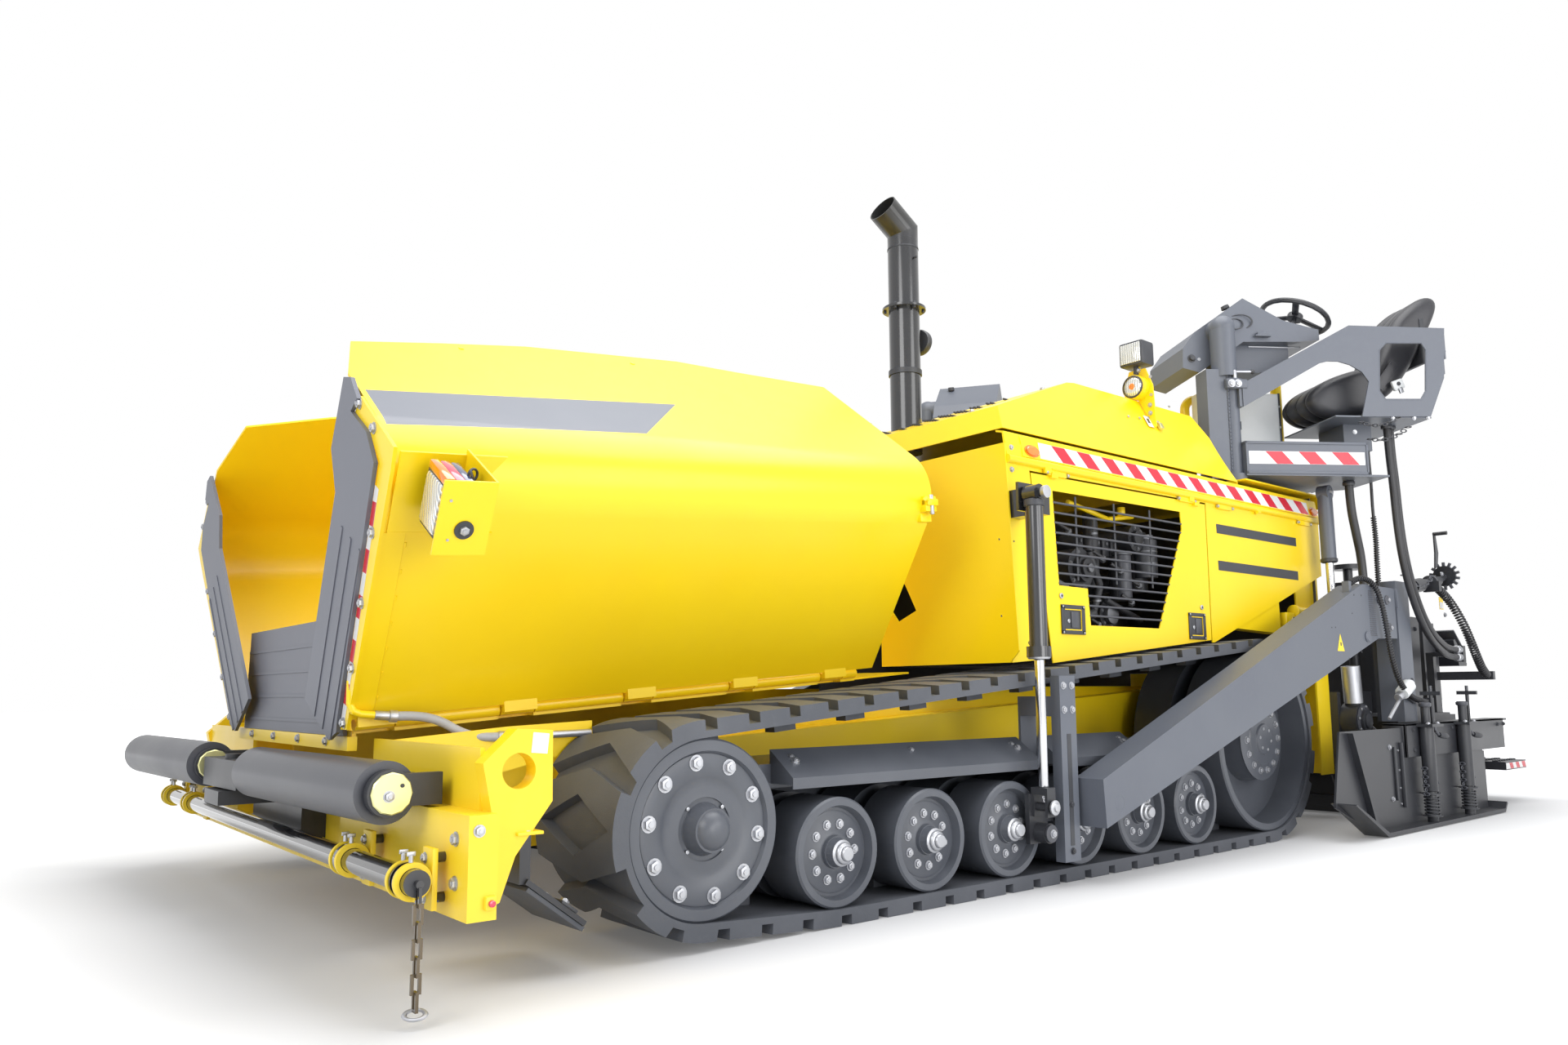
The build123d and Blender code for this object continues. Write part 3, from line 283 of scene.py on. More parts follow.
def routed(name, route, radius=0.0, curve_only=False):
    """A smooth line through the route's control points, or a round hose along it."""
    line = bpy.data.curves.new(name, "CURVE")
    line.dimensions, line.resolution_u, line.bevel_resolution = "3D", 8, 5
    line.bevel_depth, line.use_fill_caps = radius, True
    spline = line.splines.new("NURBS")
    spline.points.add(len(route) - 1)
    for point, (x, y, z) in zip(spline.points, route):
        point.co = (x + AXLE_AT, y, z, 1)
    spline.order_u, spline.use_endpoint_u = 3, True
    carrier = bpy.data.objects.new(name, line)
    if curve_only:
        return carrier
    mesh = bpy.data.meshes.new_from_object(carrier)
    bpy.data.objects.remove(carrier)
    return mesh


HOSES = {       # name: route's control points in metres from the front road wheel's axle, diameter, length
    "rear_hose_outer": ([(-3.865, 1.530, 2.1499), (-3.865, 1.530, 2.000), (-3.874, 1.536, 1.830),
                         (-3.868, 1.542, 1.640), (-3.884, 1.548, 1.440), (-3.950, 1.550, 1.260),
                         (-4.070, 1.548, 1.095), (-4.230, 1.538, 0.985), (-4.430, 1.518, 0.925),
                         (-4.640, 1.485, 0.897), (-4.7899, 1.485, 0.897)], 0.036, 1.869),
    "rear_hose_inner": ([(-3.910, 1.530, 2.1499), (-3.910, 1.530, 2.000), (-3.920, 1.536, 1.832),
                         (-3.914, 1.542, 1.648), (-3.930, 1.548, 1.456), (-3.990, 1.550, 1.288),
                         (-4.102, 1.548, 1.128), (-4.250, 1.538, 1.026), (-4.442, 1.518, 0.968),
                         (-4.645, 1.485, 0.942), (-4.7899, 1.485, 0.942)], 0.036, 1.797),
    "platform_hose": ([(-3.603, 1.420, 1.8269), (-3.603, 1.420, 1.690), (-3.650, 1.420, 1.545),
                       (-3.700, 1.420, 1.400), (-3.700, 1.420, 1.2571)], 0.044, 0.583),
    "console_cable": ([(-3.828, 1.440, 2.1499), (-3.828, 1.440, 2.000), (-3.836, 1.441, 1.840),
                       (-3.826, 1.442, 1.680), (-3.850, 1.440, 1.530), (-3.843, 1.438, 1.390),
                       (-3.843, 1.438, 1.2565)], 0.016, 0.895),
    "wrapped_cable": ([(-3.395, 1.465, 1.246), (-3.460, 1.468, 1.280), (-3.545, 1.490, 1.296),
                       (-3.618, 1.514, 1.250), (-3.655, 1.524, 1.150), (-3.685, 1.526, 1.030),
                       (-3.710, 1.526, 0.900), (-3.765, 1.526, 0.785), (-3.870, 1.526, 0.695),
                       (-4.010, 1.524, 0.652), (-4.165, 1.522, 0.640)], 0.020, 1.171),
}
CURLY = [(-4.530, 1.476, 1.304), (-4.612, 1.490, 1.263), (-4.667, 1.518, 1.186), (-4.710, 1.547, 1.087),
         (-4.762, 1.562, 0.980), (-4.830, 1.566, 0.885), (-4.912, 1.562, 0.815), (-5.005, 1.556, 0.784)]


def laid(name, mesh, finish):
    """The object that shows a mesh, smooth and in one finish."""
    mesh.materials.append(finish.material)
    mesh.shade_smooth()
    piece = bpy.data.objects.new(name, mesh)
    scene.collection.objects.link(piece)
    return piece


TURN_POINTS = 10        # points on each turn of a coil


def coiled_round(name, route, radius, pitch, first=0.0, last=0.0):
    """Points of a helix of that radius round the route's own line; first and last are straight ends."""
    line = [v.co.copy() for v in routed(name, route).vertices]
    steps = [0.0]
    for a, b in zip(line, line[1:]):
        steps.append(steps[-1] + (b - a).length)
    count = int((steps[-1] - first - last) / pitch * TURN_POINTS)
    points, at = [], 0
    side = Vector((0, 1, 0))
    for i in range(count + 1):
        s = first + (steps[-1] - first - last) * i / count
        while steps[at + 1] < s and at < len(steps) - 2:
            at += 1
        share = (s - steps[at]) / (steps[at + 1] - steps[at])
        centre, run = line[at].lerp(line[at + 1], share), (line[at + 1] - line[at]).normalized()
        side = (side - run * side.dot(run)).normalized()
        turn = 2 * math.pi * i / TURN_POINTS
        points.append(centre + (side * math.cos(turn) + run.cross(side) * math.sin(turn)) * radius)
    return line, points


def hang(hose, at_screed):
    """Rides on the screed, or stays fixed where it is laid."""
    if at_screed:
        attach(hose, "screed")
    else:
        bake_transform(hose)


for name, (route, diameter, length) in HOSES.items():
    path = [v.co.copy() for v in routed(name + "_line", route).vertices]
    hose = laid(name + "_hose", routed(name + "_hose", route, diameter / 2), hose_rubber)
    at_screed = name == "wrapped_cable"
    hang(hose, at_screed)
    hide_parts(name)
    if at_screed or name == "console_cable":
        if at_screed:
            route_of_wrap, wrap_r, pitch = route, 0.0125, 0.014
        else:
            route_of_wrap, wrap_r, pitch = route[3:], 0.012, 0.013
        turns = coiled_round(name + "_wrap", route_of_wrap, wrap_r, pitch, 0.03, 0.02)[1]
        carrier = routed(name + "_wrap", [(p.x - AXLE_AT, p.y, p.z) for p in turns], 0.0038, curve_only=True)
        carrier.data.resolution_u, carrier.data.bevel_resolution = 2, 1
        made = bpy.data.meshes.new_from_object(carrier)
        bpy.data.objects.remove(carrier)
        wrap = laid(name + "_wrap", made, hose_rubber)
        hang(wrap, at_screed)
    x, y, z = route[0]
    x + AXLE_AT

line, turns = coiled_round("coiled_cable", CURLY, 0.0205, 0.0165, 0.03, 0.03)
points = [(p.x - AXLE_AT, p.y, p.z) for p in (line[0], line[0].lerp(line[1], 0.5), *turns, line[-1])]
curly = routed("coiled_cord", points, 0.0055, curve_only=True)
curly.data.resolution_u, curly.data.bevel_resolution = 2, 2
curly.data.materials.append(hose_rubber.material)
scene.collection.objects.link(curly)
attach(curly, "screed")
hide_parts("coiled_cable")
curly_length = sum((b - a).length for a, b in zip(turns, turns[1:])) + 0.06

# ---- wheels inside the belts ---------------------------------------------------------------------
# Pressed steel wheels with a turned hub. Zinc-plated bolts hold each disc, and a stepped steel cap
# closes the bearing.
class Shape:
    """One piece in the making, in millimetres, with X from the front road wheel's axle."""

    def __init__(self, base=None):
        self.mesh = bmesh.new()
        self.skins = []
        self.base = base or Matrix()        # the frame that the following parts are given in

    def settle(self, verts, matrix, finish):
        """Puts new geometry in its place and gives it its finish."""
        bmesh.ops.transform(self.mesh, matrix=self.base @ matrix, verts=verts)
        if finish not in self.skins:
            self.skins.append(finish)
        for face in {face for vert in verts for face in vert.link_faces}:
            face.material_index = self.skins.index(finish)

    def soften(self, made, edges, size, segments=2):
        """Breaks the edges and gives back the shape's vertices."""
        cut = bmesh.ops.bevel(self.mesh, geom=list(edges), offset=size, offset_type="OFFSET", segments=segments,
                              profile=0.5, affect="EDGES", material=-1)["faces"]
        return list({v for f in cut for v in f.verts} | {v for v in made if v.is_valid})

    def joined_to(self, start):
        """Every vertex that edges join to these."""
        reach, front = set(start), start
        while front:
            front = [v for v in {v for r in front for e in r.link_edges for v in e.verts} if v not in reach]
            reach.update(front)
        return list(reach)

    def turn_out(self, verts):
        """Makes the faces at these vertices point outwards."""
        bmesh.ops.recalc_face_normals(self.mesh, faces=list({f for v in verts for f in v.link_faces}))

    def spin(self, geom, steps):
        bmesh.ops.spin(self.mesh, geom=geom, cent=(0, 0, 0), axis=(0, 0, 1), dvec=(0, 0, 0), angle=2 * math.pi,
                       steps=steps, use_merge=True)

    def block(self, low, high, finish, edge=2.0, turn=None):
        """A box between two corners, its edges broken; turn is a matrix about its own middle."""
        low, high = Vector(low), Vector(high)
        made = bmesh.ops.create_cube(self.mesh, size=1)["verts"]
        bmesh.ops.scale(self.mesh, vec=high - low, verts=made)
        if edge:
            made = self.soften(made, {e for v in made for e in v.link_edges}, edge)
        self.settle(made, Matrix.Translation((low + high) / 2) @ (turn or Matrix()), finish)

    def along(self, start, toward):
        """The frame at start whose Z points along toward."""
        toward = Vector(toward).normalized()
        return Matrix.Translation(start) @ toward.to_track_quat("Z", "Y").to_matrix().to_4x4()

    def rod(self, start, end, radius, finish, tip=None, sides=24, edge=0.0):
        """A round bar, tapered where tip is given."""
        run = Vector(end) - Vector(start)
        made = bmesh.ops.create_cone(self.mesh, cap_ends=True, segments=sides, radius1=radius,
                                     radius2=radius if tip is None else tip, depth=run.length)["verts"]
        if edge:
            rims = {e for v in made for e in v.link_edges if abs(e.verts[0].co.z - e.verts[1].co.z) < 1e-6}
            made = self.soften(made, rims, edge)
        self.settle(made, self.along((Vector(start) + Vector(end)) / 2, run), finish)

    def turned(self, profile, base, toward, finish, steps=40):
        """A body of revolution; profile is (radius, height) from base along toward."""
        made = [self.mesh.verts.new((r, 0, h)) for r, h in profile]
        edges = [self.mesh.edges.new(pair) for pair in zip(made, made[1:])]
        self.spin(made + edges, steps)
        reach = self.joined_to(list({v for e in edges if e.is_valid for v in e.verts}))
        bmesh.ops.remove_doubles(self.mesh, verts=reach, dist=0.01)
        reach = [v for v in reach if v.is_valid]
        self.turn_out(reach)
        self.settle(reach, self.along(base, toward), finish)

    def collar(self, inner, outer, height, base, toward, finish, steps):
        """A round collar with a square section."""
        profile = [(inner, 0), (outer, 0), (outer, height), (inner, height), (inner, 0)]
        self.turned(profile, base, toward, finish, steps)

    def bolt(self, at, toward, size, finish, washer=True):
        """A hexagon head on its washer, with the thread's end left in it; size is across the corners."""
        toward = Vector(toward).normalized()
        at = Vector(at)
        if washer:
            self.rod(at - toward, at + toward * size * 0.10, size * 0.66, finish, sides=14)
        self.rod(at, at + toward * size * 0.42, size * 0.5, finish, sides=6, edge=size * 0.035)
        self.rod(at + toward * size * 0.4, at + toward * size * 0.52, size * 0.24, finish, sides=8)

    def slab(self, outline, thickness, place, finish, edge=0.0):
        """A plate cut to an outline in its own X, Y and raised along its Z."""
        made = [self.mesh.verts.new((x, y, 0)) for x, y in outline]
        face = self.mesh.faces.new(made)
        raised = bmesh.ops.extrude_face_region(self.mesh, geom=[face], use_keep_orig=True)["geom"]
        top = [v for v in raised if isinstance(v, bmesh.types.BMVert)]
        bmesh.ops.translate(self.mesh, vec=(0, 0, thickness), verts=top)
        made = made + top
        self.turn_out(made)
        if edge:
            made = self.soften(made, {e for v in made for e in v.link_edges}, edge, segments=1)
        self.settle(made, place, finish)

    def ring(self, centre, axis, radius, thick, finish, squash=1.0, sides=8):
        """A round link or loop, drawn out along its own X where squash is over 1."""
        made = bmesh.ops.create_circle(self.mesh, segments=sides, radius=thick)["verts"]
        bmesh.ops.rotate(self.mesh, cent=(0, 0, 0), matrix=Matrix.Rotation(math.pi / 2, 3, "X"), verts=made)
        bmesh.ops.translate(self.mesh, vec=(radius, 0, 0), verts=made)
        edges = list({e for v in made for e in v.link_edges})
        self.spin(made + edges, 20)
        reach = self.joined_to(made)
        bmesh.ops.scale(self.mesh, vec=(squash, 1, 1), verts=reach)
        self.turn_out(reach)
        self.settle(reach, self.along(centre, axis), finish)

    def tape(self, place, length, width, pitch, lean, light, dark):
        """Warning tape laid on a face: light film with slanting dark bars, along X in its own frame."""
        self.slab([(0, 0), (length, 0), (length, width), (0, width)], 0.6, place, light)
        for i in range(int(length / pitch) + 1):
            top, foot = pitch * (i + 0.5), pitch * (i + 0.5) + lean
            bar = [(min(foot, length), 1), (min(foot + pitch / 2, length), 1),
                   (min(top + pitch / 2, length), width - 1), (min(top, length), width - 1)]
            if min(bar[1][0] - bar[0][0], bar[2][0] - bar[3][0]) > 2:
                self.slab(bar, 0.6, place @ Matrix.Translation((0, 0, 0.5)), dark)

    def done(self, name, body, slot, twin=False, smooth=40):
        """Makes the object, and its mirror image on the right-hand side where twin is set."""
        to_metres = Matrix.Translation((AXLE_AT, 0, 0)) @ Matrix.Scale(0.001, 4)
        bmesh.ops.transform(self.mesh, matrix=to_metres, verts=self.mesh.verts)
        made = []
        for side in ("left", "right") if twin else ("",):
            if side == "right":
                bmesh.ops.scale(self.mesh, vec=(1, -1, 1), verts=self.mesh.verts)
                bmesh.ops.reverse_faces(self.mesh, faces=self.mesh.faces)
            label = name + ("_" + side if side else "")
            mesh = bpy.data.meshes.new(label)
            self.mesh.to_mesh(mesh)
            for finish in self.skins:
                mesh.materials.append(finish.material)
            mesh.shade_smooth()
            mesh.set_sharp_from_angle(angle=math.radians(smooth))
            piece = bpy.data.objects.new(label, mesh)
            scene.collection.objects.link(piece)
            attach(piece, body + "_" + side if side and body + "_" + side in frame["bodies"] else body)
            made.append(piece)
        self.mesh.free()
        return made


def round_of(count, radius, x, z, start=0.0):
    """Places of count bolts on a circle, as (x, z)."""
    turn = 2 * math.pi / count
    return [(x + radius * math.cos(start + i * turn), z + radius * math.sin(start + i * turn)) for i in range(count)]


outward = (0, 1, 0)
trim = Shape()
WHEEL_PITCH = 420.0     # between the road wheels
for i in range(6):
    x, z, y = -WHEEL_PITCH * i, 223.0, 1284.0
    trim.turned([(128, -1), (128, 2), (122, 4), (66, 4), (60, 9), (52, 9), (50, 22), (44, 22)], (x, y, z), outward,
                wheel_paint)
    trim.turned([(41, 44.5), (41, 48), (34, 52), (33, 60), (30, 64), (24, 66), (23, 74), (20, 77), (0, 78)],
                (x, y + 1, z), outward, zinc, steps=28)
    for bx, bz in round_of(10, 88, x, z, 0.2 * i):
        trim.bolt((bx, y + 4, bz), outward, 24, zinc)
x, z, y = 503.0, 337.0, 1301.0
trim.turned([(214, -1), (214, 3), (208, 5), (150, 5), (146, 2), (118, 2), (90, 5)], (x, y, z), outward,
            wheel_paint, 56)
trim.turned([(80, 5), (78, 12), (66, 22), (60, 50), (54, 68), (42, 82), (24, 91), (0, 94)], (x, y - 14, z),
            outward, wheel_paint, 48)
for bx, bz in round_of(10, 190, x, z, 0.15):
    trim.bolt((bx, y + 4, bz), outward, 36, zinc)
for bx, bz in round_of(4, 84, x, z, 0.8):
    trim.bolt((bx, y + 3, bz), outward, 12, zinc, washer=False)
trim.done("wheel_bolts_and_caps", "tractor", "bright_steel", twin=True)

# ---- hopper wings --------------------------------------------------------------------------------
# Each wing is bent from one plate, with a bolted front flange and welded lamp bracket. A dark grey
# band is sprayed across its upper bend, and red and white tape lines the hopper's mouth.
hinge_line = Matrix.Translation((1316, 690, 640)) @ Matrix.Rotation(math.radians(4.61), 4, "Y")


def squared(origin, x, y):
    """The frame at origin with those X and Y directions."""
    x, y = Vector(x).normalized(), Vector(y).normalized()
    return Matrix.Translation(origin) @ Matrix((x, y, x.cross(y))).transposed().to_4x4()


lower_plate = hinge_line @ squared((0, 35, 15), (-1, 0, 0), (0, 468, 696))
upper_plate = hinge_line @ squared((0, 503, 711), (1, 0, 0), (0, -788, 615.7))
wing_paint, wing_yellow = sprayed_yellow("wing_paint")
axes = wing_paint.axes()
place = wing_paint.node("CombineXYZ", X=axes, Y=axes.math("ABSOLUTE", axes.out(1)), Z=axes.out(2))
corner_at = (upper_plate.translation + Vector((AXLE_AT * 1000, 0, 0))) / 1000
# the band's two long sides and its two ends are straight lines on the upper plate's outer face
from_corner = wing_paint.node("VectorMath", {"operation": "SUBTRACT"}, in0=place, in1=tuple(corner_at))
run, reach, depth = [wing_paint.node("VectorMath", {"operation": "DOT_PRODUCT"}, out=1, in0=from_corner,
                                     in1=tuple(upper_plate.col[i].to_3d())) for i in range(3)]
band = ((run * -0.108 + 0.3395) > reach) * (reach > (run * -0.0694 + 0.1405)) * (run < -0.016) * (
    run > (reach * -0.981 - 0.648)) * (depth < 0.0075)
wing_paint.set(Base_Color=wing_paint.blend(band, wing_yellow, (0.150, 0.162, 0.195)))
tape_white = plain_paint("tape_white", (0.80, 0.80, 0.80), (0.70, 0.70, 0.70), 0.30)
tape_red = plain_paint("tape_red", (0.62, 0.012, 0.035), (0.55, 0.02, 0.04), 0.28)
for side in ("left", "right"):
    frame["nodes"]["hopper_wing_" + side].data.materials[0] = wing_paint.material

wing = Shape(hinge_line)
for y, z in ((8, 8), (104, 161), (208, 335), (318, 514), (366, 786), (262, 874)):
    wing.bolt((8, y, z), (1, 0, 0), 25, zinc)
mouth = Vector((0, 397, 665)).normalized()
away_from_mouth = Vector((0, mouth.z, -mouth.y))
wing.tape(squared(Vector((8.2, -12, 25)) + away_from_mouth * 31 - mouth * 22, mouth, -away_from_mouth), 735, 29,
          138, 6, tape_white, tape_red)
wing.base = lower_plate
wing.slab([(-3, 8), (62, 8), (62, 596), (-3, 596)], 3, Matrix(), yellow_paint, edge=1)
for i in range(7):
    wing.rod((66, 60 + 82 * i, -2), (66, 74 + 82 * i, -2), 5, yellow_paint, sides=8)
wing.slab([(10, 596), (300, 596), (300, 600), (10, 600)], 7, Matrix(), yellow_paint)
wing.bolt((121, 712, 211), (0, 0, 1), 26, zinc)
wing.rod((121, 712, 211), (121, 712, 216), 25, lamp_housing, sides=28)
for at in ((74, 792), (84, 683)):
    wing.rod((at[0], at[1], 210.5), (at[0], at[1], 213), 4, zinc, sides=10)
wing.base = upper_plate
for x, y in ((-430, 742), (-1100, 800)):
    wing.rod((x, y, -2.5), (x, y, 1), 9, yellow_paint, sides=18)
wing.base = hinge_line
# latch bars and pins at the rear edge, and the weld along the hinge knuckles
for z, y, high in ((560, 400, 34), (618, 441, 26), (596, 430, 60)):
    wing.block((-2044, y - 12, z), (-1985, y + 22, z + high), yellow_paint, edge=4)
wing.rod((-2016, 452, 585), (-2016, 452, 660), 9, zinc, sides=14, edge=2)
wing.rod((-2036, 430, 630), (-1960, 474, 640), 7, yellow_paint, sides=12)
for i in range(5):
    x = -60 - i * 440
    wing.rod((x - 68, 34, 12), (x + 38, 34, 12), 6, yellow_paint, sides=8)
wing.done("wing_fittings", "hopper_wing", "yellow_paint", twin=True)

# ---- headlamps -----------------------------------------------------------------------------------
# A clear ribbed lens in a black frame looks forward from each bracket, with an amber, red and smoked
# position lamp on top and its lead looped behind.
clear_lens = Finish("clear_lens", (0.78, 0.80, 0.80), 0.08, 0.0, Coat_Weight=1.0, Coat_Roughness=0.03)
ribs_and_glints = clear_lens.node("TexWave", {"wave_type": "BANDS", "bands_direction": "Y"}, out=1, Vector=clear_lens.where(),
                       Scale=26.0, Distortion=2.0, Detail=1.0)
# the lens's colour runs in light and dark bands along its ribs, with more metal in the light bands: painted glints and
# shade of the clear ribbed glass, while the ribs' own relief is the bump
clear_lens.set(Base_Color=clear_lens.blend(ribs_and_glints, (0.42, 0.44, 0.45), (0.92, 0.92, 0.88)), Metallic=ribs_and_glints * 0.5 + 0.2)
clear_lens.bump(ribs_and_glints, 0.5, 0.002)


def colored_lens(name, light, dark, rough=0.12, skin=0.04, grain=60.0):
    """A glossy lens, mottled between its light and dark colours."""
    lens = Finish(name, light, rough, Coat_Weight=1.0, Coat_Roughness=skin)
    lens.set(Base_Color=lens.blend(lens.noise(grain), light, dark))
    return lens


amber_lens = colored_lens("amber_lens", (0.95, 0.26, 0.005), (0.80, 0.17, 0.004))
red_lens = colored_lens("red_lens", (0.70, 0.03, 0.10), (0.50, 0.012, 0.045))
smoked_lens = colored_lens("smoked_lens", (0.07, 0.09, 0.18), (0.04, 0.05, 0.11), 0.14, 0.05, 50.0)
lamp = Shape(lower_plate)
lamp.block((82, 654, 48), (150, 818, 168), lamp_housing, edge=10)
lamp.block((70, 652, 43), (92, 820, 173), lamp_housing, edge=9)
lamp.block((62, 664, 54), (84, 808, 162), clear_lens, edge=12)
for low, high, lens in ((70, 96, amber_lens), (96, 124, red_lens), (124, 149, smoked_lens)):
    lamp.block((low, 806, 46), (high - 0.5, 832 - (low - 70) * 0.12, 170), lens, edge=5)
lamp.block((94, 760, 168), (124, 822, 173), red_lens, edge=2)
lamp.block((146, 724, 90), (182, 760, 126), lamp_housing, edge=6)
lamp.ring((158, 824, 120), (0.4, 0.2, 1), 15, 3.4, lamp_housing)
lamp.ring((152, 826, 128), (1, 0.5, 0.3), 13, 3.2, lamp_housing)
for side, piece in zip(("left", "right"), lamp.done("headlamp", "hopper_wing", "lamp_housing", twin=True)):
    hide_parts("head_lamp_" + side)

# ---- front beam and hydraulic line ---------------------------------------------------------------
# The beam carries a glossy guide tube in yellow clamps, the lifting eyes and a blank white plate. A
# pipe and a short grey hose feed the left wing's cylinder.
zinc_yellow = plain_paint("zinc_yellow", (0.72, 0.70, 0.34), (0.60, 0.58, 0.30), 0.34, metal=0.75, grain=300.0)
grey_hose = plain_paint("grey_hose", (0.34, 0.35, 0.38), (0.42, 0.43, 0.45), 0.48)
bronze_chain = (0.105, 0.078, 0.045)
gloss_black = Finish("gloss_black", (0.012, 0.012, 0.015), 0.10, Coat_Weight=1.0, Coat_Roughness=0.04)
axes = gloss_black.axes()
on_chain = (axes.out(2) < 0.268) * (axes.out(1) > 1.4545)
rub = gloss_black.band(gloss_black.noise(14.0, 6.0, 0.7), 0.5, 0.8)
tube_black = gloss_black.blend(rub, (0.012, 0.012, 0.015), (0.03, 0.03, 0.033))
gloss_black.set(Base_Color=gloss_black.blend(on_chain, tube_black, bronze_chain),
                Metallic=on_chain * 0.8, Roughness=on_chain * 0.28 + rub * 0.12 + 0.09)
frame["nodes"]["guide_tube"].data.materials[0] = gloss_black.material

front = Shape()
for side in (1, -1):
    for y in (980 * side, 1403 * side):
        front.block((1326.5, y - 31.5, 238), (1339.5, y + 31.5, 376), yellow_paint, edge=1.5)
        for z in (262, 352):
            front.bolt((1339.5, y - 14, z), (1, 0, 0), 20, zinc)
        for off in (-24, 24):
            front.collar(31, 43, 13, (1382, y + off - 6, 307), outward, yellow_paint, 32)
            front.rod((1386, y + off, 350), (1386, y + off, 366), 5.5, zinc, sides=12)
            front.block((1376, y + off - 2, 364), (1396, y + off + 2, 374), zinc, edge=1)
    front.turned([(0, 0), (26, 0), (30, 4), (30, 10), (0, 10)], (1382, 1450 * side, 307), (0, side, 0),
                 lamp_housing, 32)
front.ring((1382, 1470, 30), (0.25, 0.5, 1), 15, 4, zinc, squash=1.5)
eye_y = 1500.6
for wide, high, y, thick, skin, edge in ((21, 24, eye_y, 1.2, tape_white, 0.4),
                                         (17, 20, eye_y + 1.1, 0.6, white_panel, 0)):
    front.slab([(-wide, -high), (wide, -high), (wide, high), (-wide, high)], thick,
               squared((1113, y, 608), (-1, 0, -0.1), (-0.1, 0, 1)), skin, edge=edge)
for y in (-450, -150, 150, 450):
    front.bolt((1300, y, 588), (1, 0, 0), 22, zinc)
for side in (1, -1):
    y = 1540 * side
    front.block((1236, y - 1, 246), (1262, y + 14 * side, 276), yellow_paint, edge=3)
    front.rod((1249, y + 12 * side, 261), (1249, y + 22 * side, 261), 8, red_lens, sides=18, edge=2)
    front.bolt((1276, y, 420), (0, side, 0), 22, zinc)
    front.block((1104, 1455 * side, 396), (1170, 1512 * side, 404), yellow_paint, edge=2)
    front.bolt((1138, 1488 * side, 404), (0, 0, 1), 20, zinc)
    for z in (300, 398):
        front.bolt((1300, 1470 * side, z), (1, 0, 0), 26, zinc)
front.done("front_beam_fittings", "tractor", "yellow_paint")

line = Shape()
points = [(1327, 748, 765), (1327, 752, 700), (1318, 756, 680), (1300, 758, 672), (1262, 764, 668)]
for a, b in zip(points, points[1:]):
    line.rod(a, b, 10.5, yellow_paint, sides=16)
    line.turned([(0, -10.4), (7, -8), (10.4, 0), (7, 8), (0, 10.4)], b, (0, 0, 1), yellow_paint, 16)
for a, b, r in (((1262, 764, 668), (1222, 768, 665), 13), ((1222, 768, 665), (1200, 770, 663), 17),
                ((934, 860, 600), (908, 866, 598), 17), ((908, 866, 598), (640, 880, 604), 11)):
    line.rod(a, b, r, zinc, sides=18, edge=1.5)
line.done("wing_pipe", "tractor", "yellow_paint")
made = routed("wing_hose", [(1.212, 0.769, 0.664), (1.150, 0.776, 0.666), (1.085, 0.796, 0.650),
                            (1.030, 0.822, 0.612), (0.975, 0.848, 0.597), (0.922, 0.862, 0.600)], 0.0135)
hose = laid("wing_hose", made, grey_hose)
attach(hose, "tractor")

# ---- push rollers and scrapers -------------------------------------------------------------------
# Two steel rollers turn in black cheeks on the push bar, each pin held by a plated disc. A bolted
# double rubber blade scrapes each belt clean.
bar_pin = Matrix.Translation((1455, 0, 0))
askew = bar_pin @ Matrix.Rotation(math.radians(2.7), 4, "Z") @ bar_pin.inverted()
push = Shape(askew)
for side in (1, -1):
    for y, way in ((1306.5 * side, side), (233.5 * side, -side)):
        push.turned([(0, 0), (50, 0), (50, 4), (47, 7), (0, 7)], (1455, y, 494), (0, way, 0), zinc_yellow, 12)
        push.bolt((1463, y + 6 * way, 488), (0, way, 0), 22, zinc)
        push.rod((1432, y + 6 * way, 512), (1432, y + 9 * way, 512), 5, lamp_housing, sides=12)
    for y in (700, 860):
        push.bolt((1370, y * side, 494), (1, 0, 0), 24, zinc)
push.done("push_bar_pin_plates", "push_bar", "black_paint")
for side, sign in (("left", 1), ("right", -1)):
    ends = Shape(askew)
    for y in (272, 1262):
        ends.turned([(60, 0), (74, 0), (75, 3), (74, 6), (60, 6), (60, 0)], (1455, y * sign, 494), (0, sign, 0),
                    lamp_housing, 48)
    ends.done("push_roller_ends_" + side, "push_roller_" + side, "black_paint")

blade = Shape(Matrix.Translation((880, 0, 120)) @ Matrix.Rotation(math.radians(-37), 4, "Y"))
blade.block((-6, 1004, -13), (196, 1296, -0.5), belt_rubber, edge=2)
blade.block((40, 996, 14), (96, 1304, 22), lamp_housing, edge=2)
for y in (1040, 1150, 1262):
    blade.bolt((68, y, 22), (0, 0, 1), 26, zinc)
blade.done("scraper_blades", "tractor", "black_paint", twin=True)

# ---- body sides ----------------------------------------------------------------------------------
# The body is folded yellow sheet. A warning tape runs along its sloping top between amber markers,
# the doors have black pull latches, and two plain black stripes cross the rear panel.
slope = squared((-1228, 1203.9, 1666), (-1, 0, 0), (0, -17, 96))
flank = Shape(slope)
flank.slab([(-112, -6), (2446, -6), (2446, 84), (-112, 84)], 4.4, Matrix(), yellow_paint, edge=1)
flank.tape(Matrix.Translation((0, 0, 4.5)), 2352, 70, 176, 62, tape_white, tape_red)
flank.base = Matrix()
for x, z in ((-1177, 1690), (-3640, 1690)):
    y = 1208.4 - (z - 1660) * 0.177
    for wide, high, thick, lift, edge in ((48, 26, 5, -1, 0), (41, 20, 9, 3, 4)):
        flank.slab([(wide * math.cos(a), high * math.sin(a)) for a in (i * math.pi / 12 for i in range(24))], thick,
                   squared((x, y + lift, z), (-1, 0, 0), (0, -17, 96)), amber_lens, edge=edge)
for x in (-1335, -2329, -2681, -3516):
    flank.block((x - 62, 1198, 1603), (x + 62, 1212, 1627), yellow_paint, edge=4)
    for end in (-74, 66):
        flank.rod((x + end, 1211, 1615), (x + end + 12, 1211, 1615), 8, zinc, sides=10, edge=1.5)
